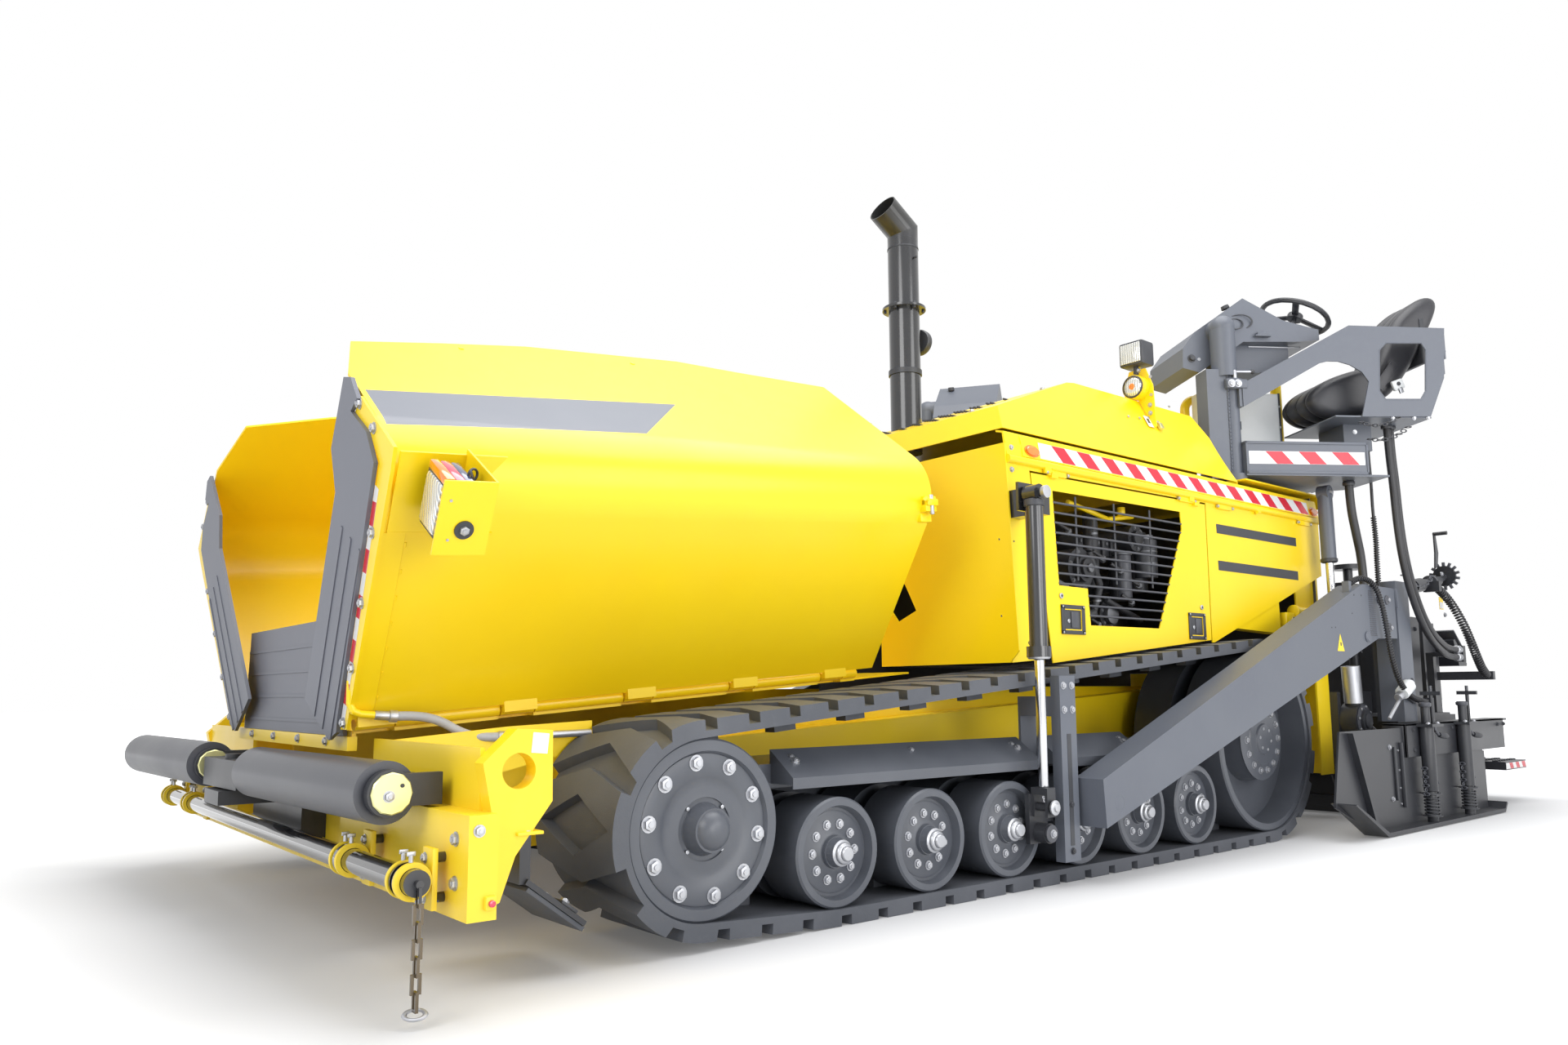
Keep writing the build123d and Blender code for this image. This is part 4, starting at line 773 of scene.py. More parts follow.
flank.rod((-2990, 1213, 1622), (-3030, 1208, 1628), 9, yellow_paint, sides=12)
# the two black stripes, slanted at the ends as the panel is
for top, high in ((1527, 46), (1346, 48)):
    flank.slab([(0, 0), (822, 0), (822, -high), (2, -high)], 0.7,
               squared((-2603, 1200.3, top), (-1, 0, 0), (0, 0, 1)), lamp_housing)
# small screws
for x, z in ((-1050, 1690), (-1050, 1600), (-1046, 1480), (-1046, 905)):
    flank.bolt((x, 1200, z), (0, 1, 0), 18, zinc)
for x, z in ((-1130, 1310), (-1130, 1010), (-1220, 1310), (-1220, 1010)):
    flank.rod((x + 170, 1200, z), (x + 170, 1200.8, z), 4, lamp_housing, sides=10)
# rear box with its hasp under the panel
flank.block((-3262, 1165, 1040), (-3358, 1204, 1120), yellow_paint, edge=6)
flank.block((-3330, 1172, 1085), (-3600, 1206, 1098), lamp_housing, edge=3)
flank.rod((-3455, 1207, 1092), (-3455, 1214, 1030), 6, zinc, sides=12)
flank.block((-3425, 1190, 1066), (-3487, 1210, 1102), lamp_housing, edge=4)
for x in (-3390, -3660):
    flank.rod((x, 1188, 1130), (x + 22, 1188, 1130), 34, yellow_paint, sides=28, edge=3)
flank.rod((-3690, 1188, 1130), (-3703, 1188, 1130), 19, lamp_housing, sides=24)
flank.done("body_side_fittings", "tractor", "yellow_paint", twin=True)

door = Shape()
for x0, x1, z0, z1 in ((-1492, -1338, 954, 1070), (-2448, -2308, 957, 1076)):
    xm, zm = (x0 + x1) / 2, (z0 + z1) / 2
    for low, high in (((x0 - 3, z0 - 3), (x1 + 3, z0 + 14)), ((x0 - 3, z1 - 14), (x1 + 3, z1 + 3)),
                      ((x0 - 3, z0), (x0 + 20, z1)), ((x1 - 20, z0), (x1 + 3, z1))):
        door.block((low[0], 1200, low[1]), (high[0], 1206.5, high[1]), lamp_housing, edge=2)
    door.block((x0 + 8, 1197.5, z0 + 8), (x1 - 8, 1201.4, z1 - 8), lamp_housing, edge=0.5)
    door.block((xm - 34, 1200, z0 + 24), (xm + 14, 1206, z1 - 24), roller_grey, edge=2)
    door.rod((xm + 30, 1201, zm - 6), (xm + 30, 1205, zm - 6), 9, zinc, sides=18, edge=2)
    for bx in (x0 + 7, x1 - 7):
        for bz in (z0 + 5, z1 - 5):
            door.rod((bx, 1206, bz), (bx, 1208.5, bz), 5, zinc, sides=12, edge=1)
for x in (-1340, -2426):
    door.rod((x, 1200, 1108), (x, 1206, 1108), 12, zinc, sides=24, edge=2)
    door.rod((x, 1206, 1108), (x, 1207, 1108), 5, lamp_housing, sides=12)
# black louvre bars in the opening, and the strips that stiffen them from behind
FRONT_EDGE = [(993, -1540), (1148, -1528), (1151, -1332), (1544, -1309)]
REAR_EDGE = [(996, -2061), (1472, -2289), (1554, -2282)]
for i in range(12):
    z = 1034 + 42 * i
    ends = []
    for edge in (FRONT_EDGE, REAR_EDGE):
        for (z0, x0), (z1, x1) in zip(edge, edge[1:]):
            if z0 <= z <= z1:
                ends.append(x0 + (x1 - x0) * (z - z0) / (z1 - z0))
    door.rod((ends[0] + 2, 1197, z), (ends[-1] - 2, 1197, z), 5, roller_grey, sides=10)
for x in (-1480, -1760, -2040):
    door.block((x - 6, 1186, 1180), (x + 6, 1189, 1538), lamp_housing, edge=0)
door.done("door_latches", "engine_door", "black_paint", twin=True)

# ---- engine bay ----------------------------------------------------------------------------------
# Behind the grilles sit the engine's black castings, with dull steel fittings, hoses with worm clips
# and yellow oil pipes. Dark sheets down the bay's middle and across its rear are painted shade that closes the bay.
casting = plain_paint("casting", (0.022, 0.023, 0.027), (0.040, 0.041, 0.046), 0.45, metal=0.3, grain=120.0, skin=0.4)
frame["nodes"]["engine"].data.materials[0] = casting.material
# dark sheets down the bay's middle and across its rear: painted shade inside the bay
shade_sheets = Shape()
shade_sheets.block((-1060, -4, 720), (-3640, 4, 1700), lamp_housing, edge=0)
shade_sheets.block((-3644, -1186, 822), (-3652, 1186, 1770), lamp_housing, edge=0)
shade_sheets.done("bay_shade_sheets", "tractor", "black_paint")
bay = Shape()
# filters, pump, alternator and pipes: each bar's two ends, radius and finish
for a, b, r, skin in (
        ((-1450, 1010, 1370), (-1450, 1028, 1370), 60, dull_steel),
        ((-1640, 1120, 1250), (-1640, 1134, 1250), 44, casting),
        ((-1640, 1134, 1250), (-1640, 1146, 1250), 20, dull_steel),
        ((-1880, 1060, 1060), (-1880, 1084, 1060), 44, dull_steel),
        ((-2060, 1100, 1420), (-2060, 1118, 1420), 36, casting),
        ((-1500, 1100, 1090), (-1500, 1122, 1090), 30, dull_steel),
        ((-1380, 1060, 1500), (-1330, 1100, 1440), 26, dull_steel),
        ((-1760, 1060, 1480), (-1700, 1090, 1330), 17, casting),
        ((-1700, 1090, 1330), (-1760, 1100, 1180), 17, casting),
        ((-1760, 1100, 1180), (-1720, 1080, 1040), 17, casting),
        ((-1400, 1090, 1200), (-1520, 1100, 1160), 15, dull_steel),
        ((-1560, 1090, 1540), (-1900, 1060, 1500), 11, yellow_paint),
        ((-1900, 1060, 1500), (-2100, 1060, 1530), 11, yellow_paint),
        ((-1980, 1080, 1520), (-1980, 1080, 1560), 18, yellow_paint),
        ((-2160, 1080, 1240), (-2160, 1080, 1420), 55, lamp_housing),
        ((-2160, 1080, 1420), (-2160, 1080, 1444), 40, dull_steel),
        ((-2160, 1080, 1300), (-2160, 1080, 1312), 57, dull_steel),
        ((-2160, 1080, 1360), (-2160, 1080, 1368), 57, dull_steel),
        ((-2000, 1060, 1140), (-2000, 1060, 1340), 40, roller_grey),
        ((-2000, 1060, 1340), (-2000, 1060, 1356), 46, dull_steel),
        ((-1590, 1060, 1010), (-1700, 1110, 1060), 22, casting),
        ((-1600, 1100, 930), (-1560, 1120, 1010), 12, dull_steel),
        ((-2100, 1080, 1040), (-1800, 1100, 1120), 14, casting)):
    bay.rod(a, b, r, skin, sides=24, edge=min(3, r * 0.2))
for x, y, z, r in ((-1640, 1090, 1250, 76), (-1450, 1010, 1370, 64), (-1880, 1060, 1060, 56), (-2060, 1100, 1420, 50)):
    for bx, bz in round_of(6, r, x, z, 0.3):
        bay.bolt((bx, y, bz), outward, 15, dull_steel)
for x, z in ((-1730, 1260), (-1742, 1110), (-1735, 1410)):
    bay.collar(16, 21, 9, (x, 1093, z), (0.1, 0.05, 1), dull_steel, 20)
for x, y, z in ((-1350, 1080, 1160), (-1420, 1100, 1130), (-1560, 1090, 1400), (-1820, 1080, 1300),
                (-1940, 1090, 1250), (-2080, 1090, 1190), (-2000, 1100, 1110), (-1660, 1100, 960), (-1750, 1090, 1000)):
    bay.rod((x, y, z), (x + 18, y + 14, z + 10), 15, dull_steel, sides=6, edge=2)
    bay.rod((x + 18, y + 14, z + 10), (x + 60, y - 10, z + 40), 9, hose_rubber, sides=12)
for i in range(5):
    bay.block((-1700 - 66 * i, 930, 1330), (-1752 - 66 * i, 1030, 1420), casting, edge=8)
    bay.bolt((-1726 - 66 * i, 1030, 1390), outward, 16, dull_steel, washer=False)
bay.done("engine_fittings", "tractor", "black_paint", twin=True)

# ---- hood, exhaust and work lamps ----------------------------------------------------------------
# The hood is a yellow fabrication with a black grille in its sloping front. The lacquered exhaust
# stands through it on a bolted flange, and work lamps stand on plates at its rear corners.
hood = Shape()
slope = squared((-1067, 0, 1884), (-640, 0, 240), (0, 1, 0))
for i in range(5):
    hood.base = Matrix.Translation((-1140 - 90 * i, 0, 1884 + (73 + 90 * i) * 0.375))
    for k in range(18):
        hood.block((-24, -880 + 100 * k, -5), (26, -874 + 100 * k, 3), lamp_housing, edge=0)
hood.base = slope
for y in (-955, 955):
    for x in (40, 560):
        hood.bolt((x, y, 0), (0, 0, math.copysign(1, slope.col[2].z)), 20, zinc)
hood.base = Matrix()
# a plain plate, a padlock and bolts on the sloping side; the plate and padlock are on the seen side only
for side in (1, -1):
    hood.base = squared((-2240, 1083 * side, 1983), (-1, 0, 0), (0, -0.449 * side, 0.893))
    out = math.copysign(1, hood.base.col[2].y * side)
    for x, y in ((-150, 30), (-50, 40), (40, 60), (330, 190)):
        hood.bolt((x, y, 0), (0, 0, out), 14, zinc, washer=False)
    if side < 0:
        continue
    hood.slab([(0, 0), (44, 0), (44, 66), (0, 66)], 1.0 * out, Matrix.Translation((0, 0, 2 * out)), tape_white)
    hood.slab([(12, 22), (32, 22), (32, 50), (12, 50)], 0.6 * out, Matrix.Translation((0, 0, 3.2 * out)), lamp_housing)
    hood.block((84, -4, 1 * out), (116, 30, 18 * out), zinc_yellow, edge=3)
    hood.ring((100, 34, 9 * out), (0, 0, 1), 11, 2.6, zinc)
hood.base = Matrix()
hood.done("hood_fittings", "tractor", "yellow_paint")

lacquer = Finish("exhaust_lacquer", (0.016, 0.017, 0.020), 0.20, Coat_Weight=0.6, Coat_Roughness=0.10)
soot = lacquer.band(lacquer.axes(out=2) + lacquer.noise(7.0, 4.0) * 0.1, 3.03, 3.16)
cloudy = lacquer.blend(lacquer.noise(3.0, 4.0), (0.014, 0.015, 0.018), (0.028, 0.029, 0.033))
lacquer.set(Base_Color=lacquer.blend(soot, cloudy, (0.008, 0.008, 0.008)),
            Roughness=lacquer.noise(5.0, 5.0) * 0.16 + 0.12 + soot * 0.5)
frame["nodes"]["exhaust"].data.materials[0] = lacquer.material
stack = Shape()
for x, y in round_of(6, 96, -1480, 200, 0.3):
    stack.bolt((x, y, 2652), (0, 0, 1), 20, lamp_housing)
    stack.rod((x, y, 2640), (x, y, 2630), 8, lamp_housing, sides=6)
stack.collar(78.5, 84, 26, (-1480, 200, 2300), (0, 0, 1), lamp_housing, 40)
stack.block((-1574, 182, 2410), (-1556, 218, 2600), lamp_housing, edge=3)
stack.turned([(0, 0), (60, 0), (66, 8), (66, 34), (56, 46), (0, 52)], (-1574, 200, 2500), (-1, -0.25, 0),
             lamp_housing, 36)
stack.collar(78.3, 79.8, 8, (-1480, 200, 2960), (0, 0, 1), lamp_housing, 40)
stack.rod((-1480, 282, 2900), (-1480, 296, 2900), 6, lamp_housing, sides=8)
stack.done("exhaust_fittings", "tractor", "black_paint")

glass = Shape()
glass.rod((-2240, 1010, 2195), (-2234, 1010, 2195), 60, yellow_paint, sides=40, edge=2)
glass.turned([(0, 10), (28, 9), (44, 5), (50, 0), (50, -2), (0, -2)], (-2235, 1010, 2195), (1, 0, 0), clear_lens, 36)
glass.turned([(50, -6), (56, -6), (56, 5), (50, 8), (50, -6)], (-2235, 1010, 2195), (1, 0, 0), lamp_housing, 36)
glass.rod((-2236, 1010, 2195), (-2223, 1010, 2195), 16, amber_lens, sides=20, edge=3)
glass.block((-2341, 939, 2304), (-2233, 1071, 2426), lamp_housing, edge=12)
glass.block((-2236, 950, 2316), (-2228, 1060, 2414), clear_lens, edge=3)
glass.block((-2296, 996, 2262), (-2266, 1014, 2310), lamp_housing, edge=3)
glass.bolt((-2280, 1016, 2284), (0, 1, 0), 20, zinc)
for z in (2060, 2100):
    glass.bolt((-2285, 1068, z), (1, 0, 0), 18, zinc)
for z in (2150, 2240):
    glass.rod((-2284, 1078, z), (-2281, 1078, z), 8, zinc, sides=12)
glass.done("work_lamp_heads", "tractor", "lamp_housing", twin=True)

# ---- tow points, rams and arms -------------------------------------------------------------------
# Each tow point slides in a bolted post and is set by a slim cylinder with a chromed rod. The screed's
# long box arms are painted grey and carry a plain yellow triangle.
frame["nodes"]["tow_rams"].data.materials[0] = lacquer.material
ram = Shape()
ram.turned([(0, 0), (22, 0), (24, 4), (24, 18), (0, 20)], (-945, 1430, 1462), outward, zinc, 28)
ram.turned([(34.3, 0), (39, 3), (39, 24), (34.3, 27), (34.3, 0)], (-945, 1385, 1412), (0, 0, 1), lamp_housing, 36)
ram.turned([(25, 0), (38, 0), (42, 5), (42, 15), (36, 20), (36, 30), (25, 32), (25, 0)], (-945, 1385, 838),
           (0, 0, 1), zinc, 36)
ram.block((-960, 1372, 1416), (-930, 1398, 1440), lamp_housing, edge=4)
for z in (900, 1390):
    ram.rod((-945, 1350, z), (-985, 1345, z), 12, lamp_housing, sides=14)
ram.rod((-985, 1345, 905), (-985, 1345, 1395), 8, lamp_housing, sides=12)
for z in (1418, 1492):
    ram.bolt((-1005, 1345, z), outward, 20, zinc)
ram.done("tow_ram_fittings", "tractor", "grey_paint", twin=True)

slide = Shape()
slide.turned([(18.3, 0), (18.6, 1), (18.6, 470), (18.3, 471), (18.3, 0)], (-945, 1385, 372), (0, 0, 1),
             bright_steel, 36)
slide.turned([(0, 0), (27, 0), (27, 6), (16, 9), (14, 16), (0, 18)], (-945, 1430, 300), outward, zinc, 28)
slide.turned([(0, 0), (30, 0), (32, 3), (32, 9), (20, 12), (0, 12)], (-955, 1400, 205), outward, roller_grey, 32)
slide.bolt((-955, 1412, 205), outward, 24, zinc)
for z in (190, 320):
    slide.bolt((-985, 1349, z), outward, 22, zinc)
slide.done("tow_slider_fittings", "tow_points", "black_paint", twin=True)

post = Shape()
for z in (650, 740):
    for x in (-1062, -1112):
        post.bolt((x, 1400, z), outward, 22, zinc)
for z in (130, 300):
    post.bolt((-1087, 1400, z), outward, 20, lamp_housing)
post.slab([(-12, 150), (12, 150), (12, 560), (-12, 560)], 1.4,
          squared((-1087, 1399.8, 0), (-1, 0, 0), (0, 0, 1)), lamp_housing)
for x in (120, -420, -960, -1290, -1660):
    post.bolt((x, 1228, 519), (0, 0.6, 0.8), 20, zinc)
for x in (120, -970, -1205, -1660):
    post.bolt((x, 1250, 507), (0, 0.55, 0.83), 24, zinc)
post.done("post_bolts", "tractor", "black_paint", twin=True)

arm = Shape()
for x, z in ((-3395, 1196), (-3480, 1198)):
    arm.rod((x, 1494, z), (x, 1494.8, z), 5, lamp_housing, sides=12)
for x, z in ((-3120, 1020), (-3160, 1022), (-3290, 870), (-3440, 905), (-3360, 1100)):
    arm.rod((x, 1494, z), (x, 1494.8, z), 4, lamp_housing, sides=10)
arm.turned([(0, 0), (26, 0), (28, 4), (22, 10), (0, 10)], (-3520, 1494, 985), outward, grey_paint, 28)
for x, z in ((-3690, 1188), (-3790, 1188), (-3800, 1040)):
    arm.turned([(0, 0), (24, 0), (26, 3), (26, 14), (20, 18), (0, 18)], (x, 1484, z), outward, roller_grey, 28)
    arm.bolt((x, 1502, z), outward, 22, zinc, washer=False)
for i in range(22):
    arm.block((-3564, 1494, 992 + 11 * i), (-3640, 1495.4, 997 + 11 * i), roller_grey, edge=0)
arm.block((-3915, 1430, 1150), (-3925, 1500, 1256), grey_paint, edge=2)
arm.turned([(0, 0), (36, 0), (38, 3), (38, 8), (24, 11), (0, 11)], (-1255, 1484, 300), outward, grey_paint, 32)
arm.done("tow_arm_fittings", "screed", "grey_paint", twin=True)
sign = Shape(squared((-3208, 1494.2, 905), (-1, 0, 0), (0, 0, 1)))
sign.slab([(-42, 0), (34, 0), (-4, 86)], 0.8, Matrix(), yellow_paint)
sign.slab([(-8, 26), (4, 26), (4, 44), (-8, 44)], 0.5, Matrix.Translation((0, 0, 0.8)), lamp_housing)
sign.done("arm_triangle", "screed", "grey_paint")

# ---- rear of the tractor -------------------------------------------------------------------------
# The rear plate carries a nylon roller and tail lamps. The planetary drive has a ring of bolts,
# and its case closes the drive wheel.
rear = Shape()
for side in (1, -1):
    rear.turned([(0, 0), (30, 0), (34, 4), (34, 26), (28, 30), (0, 30)], (-3712, 1151 * side, 618), (0, side, 0),
                zinc, 32)
    rear.rod((-3712, 1110 * side, 618), (-3712, 1190 * side, 618), 13, lamp_housing, sides=18)
    rear.collar(9, 14, 3, (-3701, 1151 * side, 678), (-1, 0, 0), roller_grey, 20)
    rear.bolt((-3701, 1180 * side, 790), (-1, 0, 0), 24, zinc)
    rear.block((-3765, 1120 * side, 1724), (-3768, 1180 * side, 1780), red_lens, edge=1)
    for x in (-3300, -3390):
        rear.bolt((x, 1200 * side, 845), (0, side, 0), 18, zinc)
x, z = -2747, 481       # the drive wheel's axle
for side in (1, -1):
    for bx, bz in round_of(14, 150, x, z):
        rear.bolt((bx, 1294 * side, bz), (0, side, 0), 26, zinc)
for side in (1, -1):
    rear.turned([(190, 0), (194, 5), (172, 12), (128, 12), (122, 18), (76, 18), (70, 26), (40, 30), (0, 30)],
                (x, 1284 * side, z), (0, side, 0), wheel_paint, 56)
    for bx, bz in round_of(6, 52, x, z, 0.2):
        rear.bolt((bx, 1309 * side, bz), (0, side, 0), 16, zinc)
rear.done("rear_fittings", "tractor", "black_paint")

lift = Shape()
top, eye = Vector((-3600, 1290, 1780)), Vector((-3607, 1290, 1100))
down = (eye - top).normalized()
lift.turned([(26, 0), (40, 0), (43, 4), (43, 18), (36, 24), (26, 24), (26, 0)], top + down * 360, down,
            lamp_housing, 36)
lift.bolt(top + Vector((0, 31, 0)), outward, 30, zinc)
lift.done("lift_barrel_glands", "lift_barrels", "grey_paint", twin=True)

# ---- operator stations ---------------------------------------------------------------------------
# Folded grey plate, bent from the column out to the seat guard. Tape marks the platform, and the
# console carries knobs, a lever and a cable loop. The seat hangs outside behind a safety chain.
station_place = Matrix.Translation((-3010, 1085, 0)) @ Matrix.Rotation(math.radians(146), 4, "Z")
station = Shape(station_place)
station.tape(squared((60, -66.3, 1888), (1, 0, 0), (0, 0, 1)), 640, 68, 183, 60, tape_white, tape_red)
for x0, z0, x1, z1 in ((44, 1995, 720, 2009), (44, 1837, 720, 1851), (44, 1837, 54, 2009), (709, 1837, 720, 2009)):
    station.block((x0, -70, z0), (x1, -58, z1), grey_paint, edge=2)
for i in range(36):
    station.rod((60 + 18 * i, -64, 1838), (74 + 18 * i, -64, 1838), 5, grey_paint, sides=8)
for i in range(28):
    station.rod((-22, -42, 1840 + 20 * i), (-22, -42, 1856 + 20 * i), 5, grey_paint, sides=8)
# window lip, edge bead, rear tube and its star knob
WINDOW = [(827, 2519), (868, 2560), (1072, 2565), (1096, 2525),
          (1077, 2297), (1046, 2250), (843, 2246), (810, 2292)]
for a, b in zip(WINDOW, WINDOW[1:] + WINDOW[:1]):
    station.rod((a[0], -62, a[1]), (b[0], -62, b[1]), 5.5, grey_paint, sides=10)
    station.turned([(0, -5.5), (4, -4), (5.5, 0), (4, 4), (0, 5.5)], (b[0], -62, b[1]), outward, grey_paint, 10)
station.collar(20, 27, 250, (1182, -36, 2400), (0, 0, 1), grey_paint, 28)
for (y0, z0), (y1, z1) in zip(round_of(6, 9, -34, 2524), round_of(6, 22, -34, 2524)):
    station.rod((1210, y0, z0), (1210, y1, z1), 7, lamp_housing, sides=12, edge=3)
station.turned([(0, 0), (17, 0), (18, 5), (14, 14), (0, 16)], (1202, -34, 2524), (1, 0, 0), lamp_housing, 24)
# clamp on the mast with its two bolts and knob lever
station.block((-40, -72, 2292), (74, -40, 2340), grey_paint, edge=5)
for x in (-14, 20):
    station.bolt((x, -72, 2316), (0, -1, 0), 32, zinc)
station.rod((14, -54, 2340), (14, -54, 2392), 10, zinc, sides=16, edge=2)
station.rod((4, -52, 2384), (104, -58, 2384), 6, zinc, sides=12)
station.turned([(0, 0), (10, 3), (14, 11), (10, 20), (0, 23)], (100, -58, 2384), (1, -0.06, 0), lamp_housing, 20)
for z in (2290, 2340):
    station.collar(62.5, 66, 8, (12, 0, z), (0, 0, 1), grey_paint, 32)
# console: bolts, knobs, switch panel, loop and slots
for z in (2600, 2500):
    station.bolt((38, 62, z), (0, -1, 0), 24, zinc)
station.rod((-160, 60, 2490), (-160, 64, 2490), 22, lamp_housing, sides=24, edge=2)
station.turned([(0, 0), (14, 0), (16, 4), (13, 14), (0, 15)], (-160, 60, 2490), (0, -1, 0), lamp_housing, 24)
station.rod((-118, 62, 2486), (-118, 65, 2486), 9, zinc, sides=16)
station.base = station_place @ squared((147, 64, 2836.5), (226, 0, -119), (0, 1, 0))
up = math.copysign(1, station.base.col[2].z)
for x, y, r, skin in ((40, 60, 15, lamp_housing), (40, 130, 11, red_lens), (40, 190, 11, lamp_housing),
                      (40, 250, 11, lamp_housing), (40, 320, 15, lamp_housing), (95, 60, 9, zinc), (95, 340, 9, zinc)):
    station.turned([(0, 0), (r, 0), (r + 2, 5), (r - 2, 15), (0, 17)], (x, y, 0), (0, 0, up), skin, 22)
station.base = station_place
station.turned([(0, 0), (20, 0), (23, 5), (20, 22), (0, 24)], (96, 150, 2802), (-0.4, 0, 1), lamp_housing, 26)
station.ring((122, 66, 2700), (0.2, 1, 0.25), 40, 3, lamp_housing, squash=1.7)
station.ring((96, 60, 2688), (0.1, 1, -0.1), 30, 3, lamp_housing, squash=1.4)
station.block((210, 40, 2624), (262, 66, 2640), grey_paint, edge=2)
station.block((196, 36, 2616), (286, 60, 2624), grey_paint, edge=2)
station.rod((200, 130, 2586), (500, 130, 2586), 6, zinc, sides=12)
# two hanging safety chains between the tray and the platform, and the seat's lever
for x0, z0, x1, z1 in ((700, 2120, 905, 2150), (742, 2030, 960, 2098)):
    for k in range(9):
        s = k / 8
        sag = -112 * s * (1 - s)
        station.ring((x0 + (x1 - x0) * s, -62, z0 + (z1 - z0) * s + sag), (0.2, 1, 0.1) if k % 2 else (0.1, 0.2, 1),
                     8, 2.6, lamp_housing, squash=1.7)
for x, z in ((880, 2146), (1000, 2150), (1080, 2152), (660, 2068)):
    station.bolt((x, -58, z), (0, -1, 0), 18, zinc)
station.rod((800, 40, 2215), (900, 20, 2216), 5, zinc, sides=12)
station.rod((900, 20, 2216), (930, 16, 2200), 5, lamp_housing, sides=12)
for i in range(5):
    station.block((90 + 128 * i, 0, 2009), (104 + 128 * i, 380, 2013), grey_paint, edge=1)
# fittings where the hoses leave the platform and the seat's tray
station.base = Matrix()
for x, y, z, r in ((-3603, 1420, 1800, 26), (-3865, 1530, 2130, 24), (-3910, 1530, 2130, 24)):
    station.turned([(r - 3, 0), (r + 3, 0), (r + 5, 4), (r + 5, 20), (r, 26), (r - 3, 26), (r - 3, 0)], (x, y, z),
                   (0, 0, 1), lamp_housing, 28)
station.done("station_fittings", "station", "grey_paint", twin=True)

cabinet = Shape(station_place)
cabinet.block((500, 376, 2006), (512, 470, 2400), lamp_housing, edge=3)
for x0, x1 in ((34, 250), (258, 494)):
    cabinet.block((x0, 373, 2016), (x1, 379, 2390), white_panel, edge=5)
for z in (2090, 2200, 2320):
    cabinet.rod((502, 372, z), (502, 378, z), 6, zinc, sides=14, edge=1)
cabinet.block((240, 368, 2180), (268, 376, 2230), lamp_housing, edge=4)
cabinet.done("cabinet_doors", "station", "white_panel", twin=True)

steering_hub = station_place @ Matrix.Translation((540, 225, 2795)) @ Matrix.Rotation(math.radians(24), 4, "Y")
steering = Shape(steering_hub)
steering.ring((0, 0, 0), (0, 0, 1), 178, 13.6, seat_vinyl, sides=14)
steering.turned([(0, 24), (22, 23), (38, 17), (42, 8), (42, -14), (0, -14)], (0, 0, 0), (0, 0, 1), seat_vinyl, 32)
for turn in (0, 120, 240):
    steering.base = steering_hub @ Matrix.Rotation(math.radians(turn), 4, "Z")
    steering.block((30, -18, -6), (172, 18, 8), seat_vinyl, edge=6)
steering.done("steering_rim", "steering_wheel", "black_paint", twin=True)

# ---- seats ---------------------------------------------------------------------------------------
# Black vinyl seats on a bellows base. The cushion and back are foam in sewn covers, crowned between
# their side bolsters, with a lap belt and its white buckle.
SEAT_PARTS = {      # outline in the station's X, Z, then the seat's two sides in its Y
    "cushion": ([(500, 2290), (516, 2238), (600, 2175), (760, 2188), (900, 2215), (960, 2290), (950, 2430),
                 (850, 2475), (765, 2452), (680, 2425), (560, 2370)], (60, 420)),
    "back": ([(905, 2350), (930, 2480), (990, 2620), (1050, 2760), (1190, 2880), (1290, 2915), (1345, 2870),
              (1262, 2715), (1180, 2560), (1060, 2380), (960, 2280)], (90, 390)),
}
# the outline's size in rows across the seat: bolster, seam, crown and the middle seam; the other half mirrors it
ROWS = [(0.0, 0.55), (0.02, 0.80), (0.10, 0.97), (0.20, 1.0), (0.235, 0.955), (0.245, 0.955), (0.28, 0.985),
        (0.40, 0.975), (0.49, 0.965), (0.495, 0.935), (0.505, 0.935), (0.51, 0.965)]
ROWS = ROWS + [(1 - across, share) for across, share in reversed(ROWS)]
for side, sign in (("left", 1), ("right", -1)):
    for part, (outline, (inner, outer)) in SEAT_PARTS.items():
        pad = bmesh.new()
        middle = Vector([sum(c) / len(outline) for c in zip(*outline)])
        loops = []
        for across, share in ROWS:
            y = inner + (outer - inner) * across
            ring = [pad.verts.new((middle.x + (x - middle.x) * share, y, middle.y + (z - middle.y) * share))
                    for x, z in outline]
            loops.append([pad.edges.new((a, b)) for a, b in zip(ring, ring[1:] + ring[:1])])
        for first, second in zip(loops, loops[1:]):
            bmesh.ops.bridge_loops(pad, edges=first + second)
        bmesh.ops.holes_fill(pad, edges=loops[0] + loops[-1], sides=0)
        bmesh.ops.recalc_face_normals(pad, faces=pad.faces)
        bmesh.ops.transform(pad, matrix=Matrix.Translation((AXLE_AT, 0, 0)) @ Matrix.Scale(0.001, 4) @ station_place,
                            verts=pad.verts)
        if sign < 0:
            bmesh.ops.scale(pad, vec=(1, -1, 1), verts=pad.verts)
            bmesh.ops.reverse_faces(pad, faces=pad.faces)
        mesh = bpy.data.meshes.new("seat_" + part + "_" + side)
        pad.to_mesh(mesh)
        pad.free()
        piece = laid(mesh.name, mesh, seat_vinyl)
        foam = piece.modifiers.new("foam", "SUBSURF")
        foam.levels = foam.render_levels = 2
        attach(piece, "station_" + side)
    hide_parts("seat_" + side)
mounting = Shape(station_place)
for i in range(5):
    fold = i % 2 * 8
    mounting.block((690 + fold, 130 + fold, 2160 + 8 * i), (880 - fold, 310 - fold, 2170 + 8 * i), seat_vinyl, edge=3)
mounting.block((640, 96, 2196), (920, 350, 2206), lamp_housing, edge=3)
mounting.block((905, 150, 2230), (985, 178, 2350), lamp_housing, edge=6)
mounting.block((905, 302, 2230), (985, 330, 2350), lamp_housing, edge=6)
mounting.block((1180, 84, 2500), (1210, 396, 2760), lamp_housing, edge=8)
mounting.base = station_place @ Matrix.Translation((1010, 70, 2370)) @ Matrix.Rotation(math.radians(-20), 4, "Y")
mounting.block((-34, -14, -30), (34, 6, 26), white_panel, edge=8)
